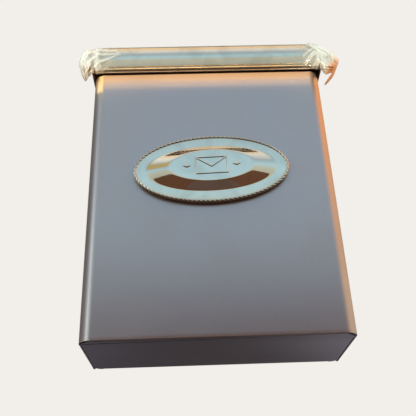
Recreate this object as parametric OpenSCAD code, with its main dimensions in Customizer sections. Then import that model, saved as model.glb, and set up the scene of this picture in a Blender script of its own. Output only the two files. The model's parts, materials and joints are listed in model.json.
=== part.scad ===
// Vertical wall mailbox: a folded steel box with a sloping lid on a rod hinge,
// a brass moulding across the lid's lip and an oval brass plaque on the front.
// +Z is up and -Y is the front. The origin is on the wall plane, in the middle of the four wall holes.

/* [Body] */
// Width over the side walls
body_w = 240; // [200:1:260]
// Height of the front face
body_h = 288; // [240:1:340]
// Depth from the wall plane to the front face
body_d = 96; // [80:1:120]
// Outer radius of the two upright front bends
corner_r = 12; // [6:1:16]
// Thickness of the steel sheet
sheet_t = 0.7; // [0.6:0.1:0.9]

/* [Lid] */
// Gap between a side wall and the lid's cheek
cheek_gap = 0.9; // [0.6:0.1:3]
// Gap between the front face and the back of the lid's lip
lip_gap = 6.3; // [4:0.1:9]
// Height by which the lip hangs below the top of the front face
lip_overlap = 2.5; // [2:0.1:5]
// Height of the lid's front edge above the top of the front face
lid_rise = 30; // [26:1:36]
// Fall of the lid towards the front, in degrees
lid_slope = 8; // [5:1:12]

/* [Hinge] */
// Distance of the hinge rod from the wall plane
hinge_inset = 12; // [10:0.5:16]
// Radius of the hinge rod
rod_r = 1.5; // [1.2:0.1:2]
// Number of knuckles, an odd number so that the body holds both ends
knuckle_count = 7; // [5:2:9]

/* [Trim] */
// Depth of the brass moulding at its upper and lower edges
trim_edge_d = 3; // [2.5:0.5:6]
// Depth of the brass moulding at the crown of its face
trim_crown_d = 7.5; // [6:0.5:10]
// Distance from the lid's side to the end of the brass moulding
trim_inset = 5.5; // [2:0.5:10]
// Wall of the brass moulding
trim_t = 0.8; // [0.6:0.1:1]

/* [Plaque] */
// Width of the oval plaque
plaque_w = 151; // [120:1:170]
// Height of the oval plaque
plaque_h = 75; // [60:1:90]
// Depth of the plaque's skirt, up to the top of its rope rim
plaque_d = 5.5; // [4:0.5:7]
// Height of the raised oval table above the plaque's flat band
table_rise = 6; // [2:0.5:8]
// Height of the plaque's centre above the middle of the front face
plaque_z = 21.5; // [0:0.5:40]
// Tilt of the plaque, in degrees, as it sits on this box
plaque_tilt = 2; // [-3:0.5:3]

/* [Wall fixing] */
// Radius of the four wall holes
wall_hole_r = 2.75; // [2:0.25:3.5]
// Distance between the wall holes, across
wall_hole_dx = 150; // [100:1:180]
// Distance between the wall holes, upright
wall_hole_dz = 200; // [150:1:230]

/* [Film] */
// Thickness of the protective film as a solid
film_t = 0.4; // [0.3:0.1:0.6]

/* [Hidden] */
$fn = 48;

paint = [0.27, 0.22, 0.20];
brass = [0.72, 0.66, 0.48];
zinc = [0.66, 0.67, 0.68];
film_tint = [0.86, 0.90, 0.86, 0.5];

eps = 0.01;                         // overlap of a cutting solid past the face that it cuts
seat = 0.1;                         // gap between two folded sheets that lie side by side
half_w = body_w / 2;
front_y = -body_d;
top_z = body_h / 2;
base_z = -body_h / 2;

// Body folds
rear_bend_r = 2;                    // outer radius of the bend into the rear flange
rear_flange = 16;                   // width of the flange that carries the back panel
hem = 6;                            // width of the closed hems on the front
front_end_y = front_y + corner_r + 6; // where the side wall's top edge starts to rise
scoop = 20;                         // length of the steep start of that rise
rest_gap = 0.3;                     // gap under the closed lid

// Floor
floor_flange = 12;                  // height of the floor's upright flanges
floor_half_w = half_w - 2 * sheet_t - seat;
floor_front_y = front_y + 2 * sheet_t + seat;
floor_rear_y = -sheet_t;
floor_z = base_z;                   // level with the lower edge of the walls
floor_cut_x = 11;                   // corners cut off at the front
floor_cut_y = 8;
floor_round = 8;                    // radius of the corners at the rear
rear_lip_h = floor_flange + 4;      // height of the upright flange that the back panel is riveted to
notch_h = rear_lip_h + 2;           // the walls' rear flanges stop this far above the floor

// Lid folds
lid_half_w = half_w + cheek_gap + sheet_t;
lip_y = front_y - lip_gap - sheet_t;
lip_z = top_z - lip_overlap;
lid_front_z = top_z + lid_rise;
cheek_back_y = -4;                  // rear edge of the lid's cheeks
cheek_low_y = -75;                  // where a cheek's lower edge starts to rise
cheek_back_z = lip_z + 17.6;        // lower rear corner of a cheek
tab_w = 10;                         // corner tab folded behind the lip
tab_h = 25;
tab_z = lip_z + 4;

// Hinge
knuckle_bore_r = rod_r + 0.05;
knuckle_r = knuckle_bore_r + sheet_t;
hinge_y = -hinge_inset;
hinge_z = lid_top(hinge_y) + knuckle_bore_r / cos(lid_slope);
knuckle_span = 231;                 // length of the row of knuckles
knuckle_l = knuckle_span / knuckle_count;
knuckle_gap = 0.5;                  // end play between two knuckles
leaf_clear = 3.6;                   // radius round the rod that the opposite leaf leaves free
rod_half_l = knuckle_span / 2 + 2;
cap_r = 3;
cap_l = 3;

// Rear plate and the leaf that carries its knuckles
plate_half_w = half_w - rear_bend_r - 0.5;
plate_low_z = base_z + 1;
leaf_z = hinge_z - knuckle_r;

// Fasteners
rivet_r = 1.6;
rivet_head_r = 3.1;
rivet_head_h = 1.1;
stud_r = 1.5;
nut_r = 5;
nut_t = 0.5;
nut_crown_r = 3;
nut_crown_h = 1;
flange_x = half_w - 9;              // rivet line down the middle of the rear flange
back_rivet_z = [-120, -60, 0, 60, 120];
floor_rivet_x = [-80, 0, 80];
floor_rivet_z = floor_z + 8;
lid_rivet_x = lid_half_w - sheet_t - tab_w / 2;
lid_rivet_z = [lip_z + 10, lip_z + 24];

// Trim
trim_low_z = lip_z + 1;
trim_high_z = lid_front_z - 1;
trim_mid_z = (trim_low_z + trim_high_z) / 2;
trim_stud_x = [-90, 0, 90];
trim_half_l = lid_half_w - trim_inset;
stud_head_y = lip_y - trim_crown_d + trim_t + 0.3;

// Plaque
rim_w = 3.2;                        // width of the rope rim
band_d = plaque_d - 1;              // depth of the flat band inside the rim
foot_w = plaque_w - 24;             // oval where the slope up to the table starts
foot_h = plaque_h - 25;
table_w = foot_w - 45;              // flat oval table on top
table_h = foot_h - 15;
plaque_stud_x = 50;
plaque_wall = 1.6;                  // wall of the casting, which is hollow at the back
emblem_rise = 0.8;
plaque_studs = [for (side = [-1, 1]) side * plaque_stud_x * [cos(plaque_tilt), sin(plaque_tilt)]];

// Film: its gathered ends are chains of balls, each [past the moulding's end, above its middle, radius]
film_gap = 0.1;                     // film to moulding
film_end_y = lip_y - trim_crown_d / 2 - 0.6;
film_end_left = [[12.5, -7, 5.5], [13.5, -16, 4], [10.5, -28, 2.8]];
film_end_right = [[16, -8, 7], [19, -12, 4.6], [16.5, -27, 2.6], [6, -41, 1.8]];

// Height of the lid's upper surface at a given y, and of its underside
function lid_top(y) = lid_front_z + (y - lip_y) * tan(lid_slope);
function lid_under(y) = lid_top(y) - sheet_t / cos(lid_slope);

// Points of an arc about [cx, cy], from angle a0 to a1
function arc(cx, cy, r, a0, a1, n = 8) =
    [for (i = [0:n]) let (a = a0 + (a1 - a0) * i / n) [cx + r * cos(a), cy + r * sin(a)]];

function reversed(list) = [for (i = [len(list) - 1:-1:0]) list[i]];

function ellipse_points(w, h, n = 96) =
    [for (i = [0:n - 1]) let (a = 360 * i / n) [w / 2 * cos(a), h / 2 * sin(a)]];

// A profile drawn in Y and Z, extruded along X from x0 to x1
module along_x(x0, x1) {
    translate([x0, 0, 0])
        rotate([90, 0, 90])
            linear_extrude(x1 - x0) children();
}

// A cylinder along Y from y0 to y1, about x and z
module pin_y(x, z, y0, y1, r) {
    translate([x, y1, z])
        rotate([90, 0, 0])
            cylinder(r = r, h = y1 - y0);
}

// A cylinder along X from x0 to x1, about the hinge axis
module on_hinge(x0, x1, r) {
    translate([x0, hinge_y, hinge_z])
        rotate([0, 90, 0])
            cylinder(r = r, h = x1 - x0);
}

// A domed rivet head that rises from the plane at y towards dir
module rivet_head(x, z, y, dir) {
    ball_r = (rivet_head_r * rivet_head_r + rivet_head_h * rivet_head_h) / (2 * rivet_head_h);
    intersection() {
        translate([x, y - dir * (ball_r - rivet_head_h), z]) sphere(r = ball_r);
        pin_y(x, z, min(y, y + dir * rivet_head_h), max(y, y + dir * rivet_head_h), rivet_head_r);
    }
}

// A sprung push nut on a stud, seated on the plane at y, crown towards the wall
module push_nut(x, z, y) {
    difference() {
        union() {
            pin_y(x, z, y, y + nut_t, nut_r);
            pin_y(x, z, y, y + nut_crown_h, nut_crown_r);
        }
        pin_y(x, z, y - 1, y + nut_crown_h + 1, stud_r);
    }
}

// One side of the wrap's plan outline, offset inwards from the outer face
function wrap_line(inset) = concat(
    [[-half_w + rear_flange, -sheet_t - inset]],
    arc(-half_w + rear_bend_r, -sheet_t - rear_bend_r, rear_bend_r - inset, 90, 180, 4),
    arc(-half_w + corner_r, front_y + corner_r, corner_r - inset, 180, 270, 12),
    arc(half_w - corner_r, front_y + corner_r, corner_r - inset, 270, 360, 12),
    arc(half_w - rear_bend_r, -sheet_t - rear_bend_r, rear_bend_r - inset, 0, 90, 4),
    [[half_w - rear_flange, -sheet_t - inset]]
);

// Side view of the wrap: low at the front, then up a scoop to run just under the lid
module wrap_side_view() {
    rest_y = front_end_y + scoop;
    polygon([
        [front_y - 1, base_z],
        [0, base_z],
        [0, lid_under(hinge_y) - rest_gap],
        [hinge_y, lid_under(hinge_y) - rest_gap],
        [rest_y, lid_under(rest_y) - rest_gap],
        [front_end_y, top_z],
        [front_y - 1, top_z]
    ]);
}

module front_hem(z0) {
    translate([-half_w + corner_r, front_y + sheet_t - eps, z0])
        cube([body_w - 2 * corner_r, sheet_t + eps, hem]);
}

module side_hem(x) {
    translate([x, front_y + corner_r, base_z])
        cube([sheet_t + eps, body_d - corner_r - 6, hem]);
}

module body_wrap() {
    color(paint)
        difference() {
            union() {
                intersection() {
                    translate([0, 0, base_z])
                        linear_extrude(body_h + 100)
                            polygon(concat(wrap_line(0), reversed(wrap_line(sheet_t))));
                    along_x(-half_w - 1, half_w + 1) wrap_side_view();
                }
                front_hem(base_z);
                front_hem(top_z - hem);
                side_hem(-half_w + sheet_t - eps);
                side_hem(half_w - 2 * sheet_t);
            }
            for (stud = plaque_studs)
                pin_y(stud[0], plaque_z + stud[1], front_y - 1, front_y + 2, stud_r + 0.1);
            for (side = [-1, 1], z = back_rivet_z) pin_y(side * flange_x, z, -3, 1, rivet_r);
            for (side = [0, 1])
                mirror([side, 0, 0])
                    translate([half_w - rear_flange - 1, -2 * sheet_t - eps, base_z - 1])
                        cube([rear_flange + 1 - rear_bend_r, sheet_t + 2 * eps, notch_h + 1]);
        }
}

function knuckle_x0(i) = -knuckle_span / 2 + i * knuckle_l + knuckle_gap / 2;
function knuckle_x1(i) = knuckle_x0(i) + knuckle_l - knuckle_gap;

module back_panel() {
    color(paint)
        difference() {
            union() {
                translate([-plate_half_w, -sheet_t, plate_low_z])
                    cube([2 * plate_half_w, sheet_t, leaf_z + sheet_t - plate_low_z]);
                translate([-plate_half_w, hinge_y + leaf_clear, leaf_z])
                    cube([2 * plate_half_w, -hinge_y - leaf_clear, sheet_t]);
                for (i = [0:2:knuckle_count - 1]) {
                    translate([knuckle_x0(i), hinge_y, leaf_z])
                        cube([knuckle_l - knuckle_gap, leaf_clear + 1, sheet_t]);
                    on_hinge(knuckle_x0(i), knuckle_x1(i), knuckle_r);
                }
            }
            on_hinge(-half_w, half_w, knuckle_bore_r);
            for (sx = [-1, 1], sz = [-1, 1])
                pin_y(sx * wall_hole_dx / 2, sz * wall_hole_dz / 2, -2, 1, wall_hole_r);
            for (side = [-1, 1], z = back_rivet_z) pin_y(side * flange_x, z, -2, 1, rivet_r);
            for (x = floor_rivet_x) pin_y(x, floor_rivet_z, -2, 1, rivet_r);
        }
}

// The floor is a tray with four upright flanges, set inside the hemmed walls.
// Its front corners are cut off, which leaves a small hole in each bend of the wrap.
module floor_outline() {
    polygon(concat(
        [[-floor_half_w, floor_front_y + floor_cut_y], [-floor_half_w + floor_cut_x, floor_front_y]],
        [[floor_half_w - floor_cut_x, floor_front_y], [floor_half_w, floor_front_y + floor_cut_y]],
        arc(floor_half_w - floor_round, floor_rear_y - floor_round, floor_round, 0, 90, 6),
        arc(-floor_half_w + floor_round, floor_rear_y - floor_round, floor_round, 90, 180, 6)
    ));
}

module bottom_panel() {
    side_l = body_d - corner_r - 14;
    rear_half_w = floor_half_w - floor_round - 1;
    color(paint)
        difference() {
            union() {
                translate([0, 0, floor_z]) linear_extrude(sheet_t) floor_outline();
                translate([-floor_half_w + floor_cut_x, floor_front_y, floor_z])
                    cube([2 * (floor_half_w - floor_cut_x), sheet_t, floor_flange]);
                for (x = [-floor_half_w, floor_half_w - sheet_t])
                    translate([x, front_y + corner_r, floor_z]) cube([sheet_t, side_l, floor_flange]);
                translate([-rear_half_w, floor_rear_y - sheet_t, floor_z])
                    cube([2 * rear_half_w, sheet_t, rear_lip_h]);
            }
            for (x = floor_rivet_x) pin_y(x, floor_rivet_z, -3, 1, rivet_r);
        }
}

// Rivets stand flush with the wall plane, with their heads inside the box
module back_rivets(side) {
    color(zinc)
        for (z = back_rivet_z) {
            pin_y(side * flange_x, z, -2 * sheet_t, 0, rivet_r);
            rivet_head(side * flange_x, z, -2 * sheet_t, -1);
        }
}

module bottom_rivets() {
    color(zinc)
        for (x = floor_rivet_x) {
            pin_y(x, floor_rivet_z, -2 * sheet_t, 0, rivet_r);
            rivet_head(x, floor_rivet_z, -2 * sheet_t, -1);
        }
}

module hinge_rod() {
    color(zinc) on_hinge(-rod_half_l, rod_half_l, rod_r);
}

// A push-on cap that keeps the rod in its knuckles
module hinge_cap(side) {
    inner_x = knuckle_span / 2 + 0.3;
    color(zinc)
        difference() {
            on_hinge(min(side * inner_x, side * (inner_x + cap_l)),
                     max(side * inner_x, side * (inner_x + cap_l)), cap_r);
            on_hinge(-rod_half_l, rod_half_l, rod_r);
        }
}

// Places a drawing on the plaque's back plane: x to the right, y up the face, z out of it
module on_plaque() {
    translate([0, front_y, plaque_z])
        rotate([90, 0, 0])
            rotate(plaque_tilt) children();
}

module oval(w, h, depth0, depth1) {
    translate([0, 0, depth0])
        linear_extrude(depth1 - depth0) polygon(ellipse_points(w, h));
}

// A raised bar of the emblem, from a to b
module emblem_bar(a, b) {
    bar_w = 1.3;
    run = b - a;
    translate([a[0], a[1], band_d + table_rise - eps])
        rotate(atan2(run[1], run[0]))
            translate([-bar_w / 2, -bar_w / 2])
                cube([norm(run) + bar_w, bar_w, emblem_rise + eps]);
}

// A plain envelope between two lozenges
module emblem() {
    w = 30;
    h = 18;
    corner = [[-w, h] / 2, [w, h] / 2, [w, -h] / 2, [-w, -h] / 2];
    fold = [0, -h * 0.08];
    for (i = [0:3]) emblem_bar(corner[i], corner[(i + 1) % 4]);
    for (i = [0:1]) emblem_bar(corner[i], fold);
    for (side = [-1, 1])
        translate([side * (w / 2 + 9), 0, band_d + table_rise - eps])
            linear_extrude(emblem_rise + eps) polygon([[-4, 0], [0, 2], [4, 0], [0, -2]]);
}

// The slope and the table as one solid, drawn inwards by inset
module plaque_dome(inset) {
    hull() {
        oval(foot_w - 2 * inset, foot_h - 2 * inset, band_d - inset - eps, band_d - inset);
        oval(table_w - inset, table_h - inset, band_d - inset, band_d + table_rise - inset);
    }
}

// Oval casting: skirt with a rope rim, a flat band, and a slope up to a table with the emblem
module plaque() {
    color(brass)
        on_plaque() {
            difference() {
                union() {
                    difference() {
                        oval(plaque_w, plaque_h, 0, plaque_d);
                        oval(plaque_w - 2 * rim_w, plaque_h - 2 * rim_w, band_d, plaque_d + 1);
                    }
                    plaque_dome(0);
                }
                oval(plaque_w - 2 * plaque_wall, plaque_h - 2 * plaque_wall, -1, band_d - plaque_wall);
                plaque_dome(plaque_wall);
            }
            emblem();
            for (side = [-1, 1])
                translate([side * plaque_stud_x, 0, 0]) {
                    translate([0, 0, -4]) cylinder(r = stud_r, h = 5);
                    cylinder(r = 2 * stud_r, h = band_d + table_rise / 2);
                }
        }
}

module plaque_push_nuts() {
    color(zinc)
        for (stud = plaque_studs) push_nut(stud[0], plaque_z + stud[1], front_y + sheet_t);
}

module cheek_view() {
    polygon([
        [lip_y, lip_z],
        [cheek_low_y, lip_z],
        [cheek_back_y, cheek_back_z],
        [cheek_back_y, hinge_z - knuckle_r - 2],
        [hinge_y, lid_under(hinge_y)],
        [hinge_y - leaf_clear, lid_top(hinge_y - leaf_clear)],
        [lip_y, lid_front_z]
    ]);
}

// Side view of the lid's sheet: the roof, the lip and the closed hem inside the lip
module lid_view(back_y) {
    polygon([
        [back_y, lid_top(back_y)],
        [lip_y, lid_front_z],
        [lip_y, lip_z],
        [lip_y + 2 * sheet_t, lip_z],
        [lip_y + 2 * sheet_t, lip_z + hem - 1],
        [lip_y + sheet_t, lip_z + hem - 1],
        [lip_y + sheet_t, lid_under(lip_y + sheet_t)],
        [back_y, lid_under(back_y)]
    ]);
}

module lid_shell() {
    color(paint)
        difference() {
            union() {
                along_x(-lid_half_w, lid_half_w) lid_view(hinge_y - leaf_clear);
                along_x(-lid_half_w, -lid_half_w + sheet_t) cheek_view();
                along_x(lid_half_w - sheet_t, lid_half_w) cheek_view();
                for (side = [-1, 1])
                    translate([side * lid_rivet_x - tab_w / 2 - eps, lip_y + sheet_t - eps, tab_z])
                        cube([tab_w + 2 * eps, sheet_t + eps, tab_h]);
                for (i = [1:2:knuckle_count - 2]) {
                    along_x(knuckle_x0(i), knuckle_x1(i)) knuckle_leaf_view();
                    on_hinge(knuckle_x0(i), knuckle_x1(i), knuckle_r);
                }
            }
            on_hinge(-half_w, half_w, knuckle_bore_r);
            for (x = trim_stud_x) pin_y(x, trim_mid_z, lip_y - 1, lip_y + 3, stud_r + 0.1);
            for (side = [-1, 1], z = lid_rivet_z) pin_y(side * lid_rivet_x, z, lip_y - 1, lip_y + 3, rivet_r);
        }
}

// The strip of roof that runs to a lid knuckle, tangent to it from below
module knuckle_leaf_view() {
    y0 = hinge_y - leaf_clear - 1;
    foot = [hinge_y + knuckle_bore_r * sin(lid_slope), hinge_z - knuckle_bore_r * cos(lid_slope)];
    sole = [hinge_y + knuckle_r * sin(lid_slope), hinge_z - knuckle_r * cos(lid_slope)];
    polygon([[y0, lid_top(y0)], [y0, lid_under(y0)], sole, foot]);
}

// Rivets stand flush with the lip's face, behind the moulding, with their heads behind the tab
module lid_rivets(side) {
    color(zinc)
        for (z = lid_rivet_z) {
            pin_y(side * lid_rivet_x, z, lip_y, lip_y + 2 * sheet_t, rivet_r);
            rivet_head(side * lid_rivet_x, z, lip_y + 2 * sheet_t, 1);
        }
}

// Front of the moulding in Y and Z, grown outwards: straight edges and a crowned face
function trim_face(grow) =
    let (half_h = (trim_high_z - trim_low_z) / 2,
         rise = trim_crown_d - trim_edge_d,
         r = (half_h * half_h + rise * rise) / (2 * rise),
         reach = asin(half_h / r),
         centre_y = lip_y - trim_crown_d + r)
    concat(
        [[lip_y, trim_high_z + grow]],
        [for (i = [0:12]) let (a = reach - 2 * reach * i / 12)
            [centre_y - (r + grow) * cos(a), trim_mid_z + (half_h + grow) * sin(a) / sin(reach)]],
        [[lip_y, trim_low_z - grow]]
    );

module trim_moulding() {
    color(brass)
        difference() {
            along_x(-trim_half_l, trim_half_l) polygon(trim_face(0));
            along_x(-trim_half_l + trim_t, trim_half_l - trim_t)
                polygon(concat(
                    [[lip_y + 1, trim_high_z - trim_t]],
                    trim_face(-trim_t),
                    [[lip_y + 1, trim_low_z + trim_t]]
                ));
        }
}

module trim_studs() {
    color(brass)
        for (x = trim_stud_x) {
            pin_y(x, trim_mid_z, stud_head_y, lip_y + 5, stud_r);
            pin_y(x, trim_mid_z, stud_head_y, stud_head_y + 1, 2 * stud_r);
        }
}

module trim_push_nuts() {
    color(zinc)
        for (x = trim_stud_x) push_nut(x, trim_mid_z, lip_y + sheet_t);
}

// A gathered end of the film: a flat root on the moulding's end, then the chain of balls
module film_end(side, balls) {
    hull() {
        translate([side * (trim_half_l + 1), film_end_y, trim_mid_z])
            cube([1, 2 * trim_edge_d, trim_high_z - trim_low_z], center = true);
        film_ball(side, balls[0]);
    }
    for (i = [0:len(balls) - 2])
        hull() {
            film_ball(side, balls[i]);
            film_ball(side, balls[i + 1]);
        }
}

module film_ball(side, ball) {
    translate([side * (trim_half_l + ball[0]), film_end_y, trim_mid_z + ball[1]])
        sphere(r = ball[2], $fn = 20);
}

// Clear film over the moulding's face, gathered past both ends
module protective_film() {
    color(film_tint) {
        difference() {
            along_x(-trim_half_l - 1, trim_half_l + 1) polygon(trim_face(film_gap + film_t));
            along_x(-trim_half_l - 2, trim_half_l + 2)
                polygon(concat(
                    [[lip_y + 1, trim_high_z + film_gap]],
                    trim_face(film_gap),
                    [[lip_y + 1, trim_low_z - film_gap]]
                ));
        }
        film_end(-1, film_end_left);
        film_end(1, film_end_right);
    }
}

body_wrap();
back_panel();
bottom_panel();
back_rivets(-1);  // back_rivets_left
back_rivets(1);  // back_rivets_right
bottom_rivets();
hinge_rod();
hinge_cap(-1);  // hinge_cap_left
hinge_cap(1);  // hinge_cap_right
plaque();
plaque_push_nuts();
lid_shell();
lid_rivets(-1);  // lid_rivets_left
lid_rivets(1);  // lid_rivets_right
trim_moulding();
trim_studs();
trim_push_nuts();
protective_film();
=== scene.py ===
"""Looks of an upright wall mailbox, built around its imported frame.

The box is one sheet of dark enamelled steel bent round two upright corners, with a tray for a floor. The
sloping lid carries a brass moulding still in its clear protective film, and an oval brass plaque with a rope
rim sits on the front. Sizes are in millimetres, and a mesh is scaled to metres when it is made.
"""

import json
import logging
import math
from dataclasses import dataclass, field
from enum import Enum

import bpy
import numpy as np
from mathutils import Matrix, Vector


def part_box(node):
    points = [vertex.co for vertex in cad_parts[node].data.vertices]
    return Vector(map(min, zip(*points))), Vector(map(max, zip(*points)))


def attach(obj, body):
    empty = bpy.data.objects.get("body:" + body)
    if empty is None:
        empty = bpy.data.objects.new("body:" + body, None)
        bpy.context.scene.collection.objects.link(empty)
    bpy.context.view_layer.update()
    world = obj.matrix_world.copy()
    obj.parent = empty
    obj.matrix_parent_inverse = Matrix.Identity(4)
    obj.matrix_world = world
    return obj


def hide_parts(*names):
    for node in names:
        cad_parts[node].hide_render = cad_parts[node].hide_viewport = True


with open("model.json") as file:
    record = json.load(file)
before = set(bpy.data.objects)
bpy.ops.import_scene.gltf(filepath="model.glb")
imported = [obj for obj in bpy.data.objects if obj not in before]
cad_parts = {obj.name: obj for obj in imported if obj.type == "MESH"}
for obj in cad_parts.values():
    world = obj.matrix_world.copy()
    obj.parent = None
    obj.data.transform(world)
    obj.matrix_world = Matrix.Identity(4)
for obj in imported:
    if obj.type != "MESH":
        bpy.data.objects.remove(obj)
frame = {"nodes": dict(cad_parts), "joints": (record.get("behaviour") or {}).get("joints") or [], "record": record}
log = logging.getLogger("mailbox")

MM = 0.001
Colour = tuple[float, float, float]


class Side(Enum):
    """Left or right, as seen from the front. The value is the sign of X."""

    LEFT = -1
    RIGHT = 1


# ---------------------------------------------------------------- shapes as arrays


@dataclass(frozen=True)
class Extent:
    """Lowest and highest corner of a node of the frame, in millimetres."""

    low: np.ndarray
    high: np.ndarray

    @classmethod
    def of(cls, node: str) -> "Extent":
        """The extent of one node.

        Args:
            node: the node's name.

        Returns:
            Its extent.
        """
        low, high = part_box(node)
        return cls(np.array(low) / MM, np.array(high) / MM)


@dataclass
class Shell:
    """A closed surface: points in millimetres, four-sided faces, end faces, and masks at the points."""

    points: np.ndarray
    quads: np.ndarray
    ends: list[np.ndarray]
    masks: dict[str, np.ndarray] = field(default_factory=dict)

    def outward(self) -> "Shell":
        """Turns every face round if the shell is inside out, which a volume below zero shows.

        The volume is the sum, over a fan of triangles in each face, of a . (b x c) / 6.

        Returns:
            The shell itself.
        """
        corners = self.points[self.quads]
        volume = 0.0
        for b, c in ((1, 2), (2, 3)):
            volume += np.einsum("ij,ij->", corners[:, 0], np.cross(corners[:, b], corners[:, c]))
        for end in self.ends:
            p = self.points[end]
            volume += np.einsum("j,ij->", p[0], np.cross(p[1:-1], p[2:]))
        if volume < 0:
            self.quads = self.quads[:, ::-1]
            self.ends = [end[::-1] for end in self.ends]
        return self


def smooth(t: np.ndarray | float) -> np.ndarray:
    """Smooth step: 3 t^2 - 2 t^3, with t held between 0 and 1."""
    t = np.clip(t, 0.0, 1.0)
    return t * t * (3 - 2 * t)


def tent(t: np.ndarray) -> np.ndarray:
    """Triangle wave of period 1, from 0 up to 1 and back: 1 - |2 frac(t) - 1|."""
    return 1 - np.abs(2 * (t - np.floor(t)) - 1)


def arc(cx: float, cy: float, radius: float, start: float, stop: float, count: int) -> np.ndarray:
    """Points of a circular arc: centre + radius (cos a, sin a) for evenly spaced a.

    Args:
        cx: the centre's first coordinate.
        cy: the centre's second coordinate.
        radius: the arc's radius.
        start: first angle, in degrees.
        stop: last angle, in degrees.
        count: number of points.

    Returns:
        An array of shape (count, 2).
    """
    angle = np.radians(np.linspace(start, stop, count))
    return np.stack([cx + radius * np.cos(angle), cy + radius * np.sin(angle)], -1)


def line(a: tuple[float, float], b: tuple[float, float], count: int) -> np.ndarray:
    """Evenly spaced points from a to b, both included, as an array of shape (count, 2)."""
    return np.linspace(a, b, count)


def through(points: list[tuple[float, ...]], t: np.ndarray) -> np.ndarray:
    """Catmull-Rom curve: cubics from point to point, whose slope at a point is half its neighbours' gap.

    Args:
        points: the points that the curve passes.
        t: places along the curve, from 0 at the first point to 1 at the last.

    Returns:
        One point for each t.
    """
    p = np.asarray(points, float)
    p = np.vstack([2 * p[0] - p[1], p, 2 * p[-1] - p[-2]])
    place = np.clip(t, 0, 1) * (len(p) - 3)
    i = np.minimum(place.astype(int), len(p) - 4)
    f = (place - i)[:, None]
    p0, p1, p2, p3 = (p[i + k] for k in range(4))
    curve = 2 * p1 + (p2 - p0) * f + (2 * p0 - 5 * p1 + 4 * p2 - p3) * f**2
    return 0.5 * (curve + (3 * p1 - p0 - 3 * p2 + p3) * f**3)


def loft(points: np.ndarray, closed_rows: bool = False, masks: dict[str, np.ndarray] | None = None) -> Shell:
    """Closed surface through a grid of points whose columns run round a closed section.

    Each point is joined to the next in its row and the next in its column. The first and last rows are closed
    by one face each, unless the rows themselves run round a loop.

    Args:
        points: an array of shape (rows, columns, 3).
        closed_rows: whether the last row joins the first.
        masks: values from 0 to 1, each of shape (rows, columns).

    Returns:
        The shell, facing outwards.
    """
    rows, columns = points.shape[:2]
    index = np.arange(rows * columns).reshape(rows, columns)
    here = index if closed_rows else index[:-1]
    below = np.roll(index, -1, axis=0) if closed_rows else index[1:]
    quads = np.stack([here, np.roll(here, -1, axis=1), np.roll(below, -1, axis=1), below], -1)
    ends = [] if closed_rows else [index[0][::-1], index[-1]]
    flat = {name: np.broadcast_to(value, (rows, columns)).ravel() for name, value in (masks or {}).items()}
    return Shell(points.reshape(-1, 3), quads.reshape(-1, 4), ends, flat).outward()


def extrude(section: np.ndarray, stations: np.ndarray, axes: str) -> np.ndarray:
    """Grid of one plane section repeated at each station.

    Args:
        section: points of shape (columns, 2), or one set for each station, of shape (rows, columns, 2).
        stations: places along the third axis.
        axes: the two axes of the section and then the axis of the stations, such as "yzx".

    Returns:
        An array of shape (rows, columns, 3).
    """
    section = np.broadcast_to(section, (len(stations), *section.shape[-2:]))
    grid = np.empty((*section.shape[:2], 3))
    grid[..., "xyz".index(axes[0])] = section[..., 0]
    grid[..., "xyz".index(axes[1])] = section[..., 1]
    grid[..., "xyz".index(axes[2])] = stations[:, None]
    return grid


def crowded_ends(low: float, high: float, radius: float, count: int) -> np.ndarray:
    """Stations from low to high: spaced as radius (1 - cos a) near both ends, and evenly between.

    Args:
        low: the first station.
        high: the last station.
        radius: length of the crowded stretch at each end.
        count: number of even stations, with the two that close the crowded stretches.

    Returns:
        The stations in rising order.
    """
    ramp = radius * (1 - np.cos(np.linspace(0, math.pi / 2, 7)))
    middle = np.linspace(low + radius, high - radius, count)[1:-1]
    return np.concatenate([low + ramp, middle, high - ramp[::-1]])


def make_piece(
    name: str, shells: list[Shell], material: bpy.types.Material, sharp: float = 38.0
) -> bpy.types.Object:
    """Joins shells into one smooth-shaded object at the origin.

    Args:
        name: the piece's name.
        shells: its closed surfaces.
        material: its finish.
        sharp: angle, in degrees, past which an edge stays sharp.

    Returns:
        The object.
    """
    starts = np.cumsum([0] + [len(shell.points) for shell in shells])
    polygons = [quad for shell, start in zip(shells, starts) for quad in (shell.quads + start).tolist()]
    polygons += [(end + start).tolist() for shell, start in zip(shells, starts) for end in shell.ends]
    mesh = bpy.data.meshes.new(name)
    mesh.from_pydata(np.concatenate([shell.points for shell in shells]) * MM, [], polygons)
    mesh.polygons.foreach_set("use_smooth", np.ones(len(polygons), bool))
    mesh.set_sharp_from_angle(angle=math.radians(sharp))
    for mask in sorted({key for shell in shells for key in shell.masks}):
        values = np.concatenate([shell.masks.get(mask, np.zeros(len(shell.points))) for shell in shells])
        layer = mesh.attributes.new(mask, "FLOAT", "POINT")
        layer.data.foreach_set("value", values.astype(np.float32))
    mesh.materials.append(material)
    piece = bpy.data.objects.new(name, mesh)
    bpy.context.scene.collection.objects.link(piece)
    return piece


# ---------------------------------------------------------------- finishes


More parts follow.
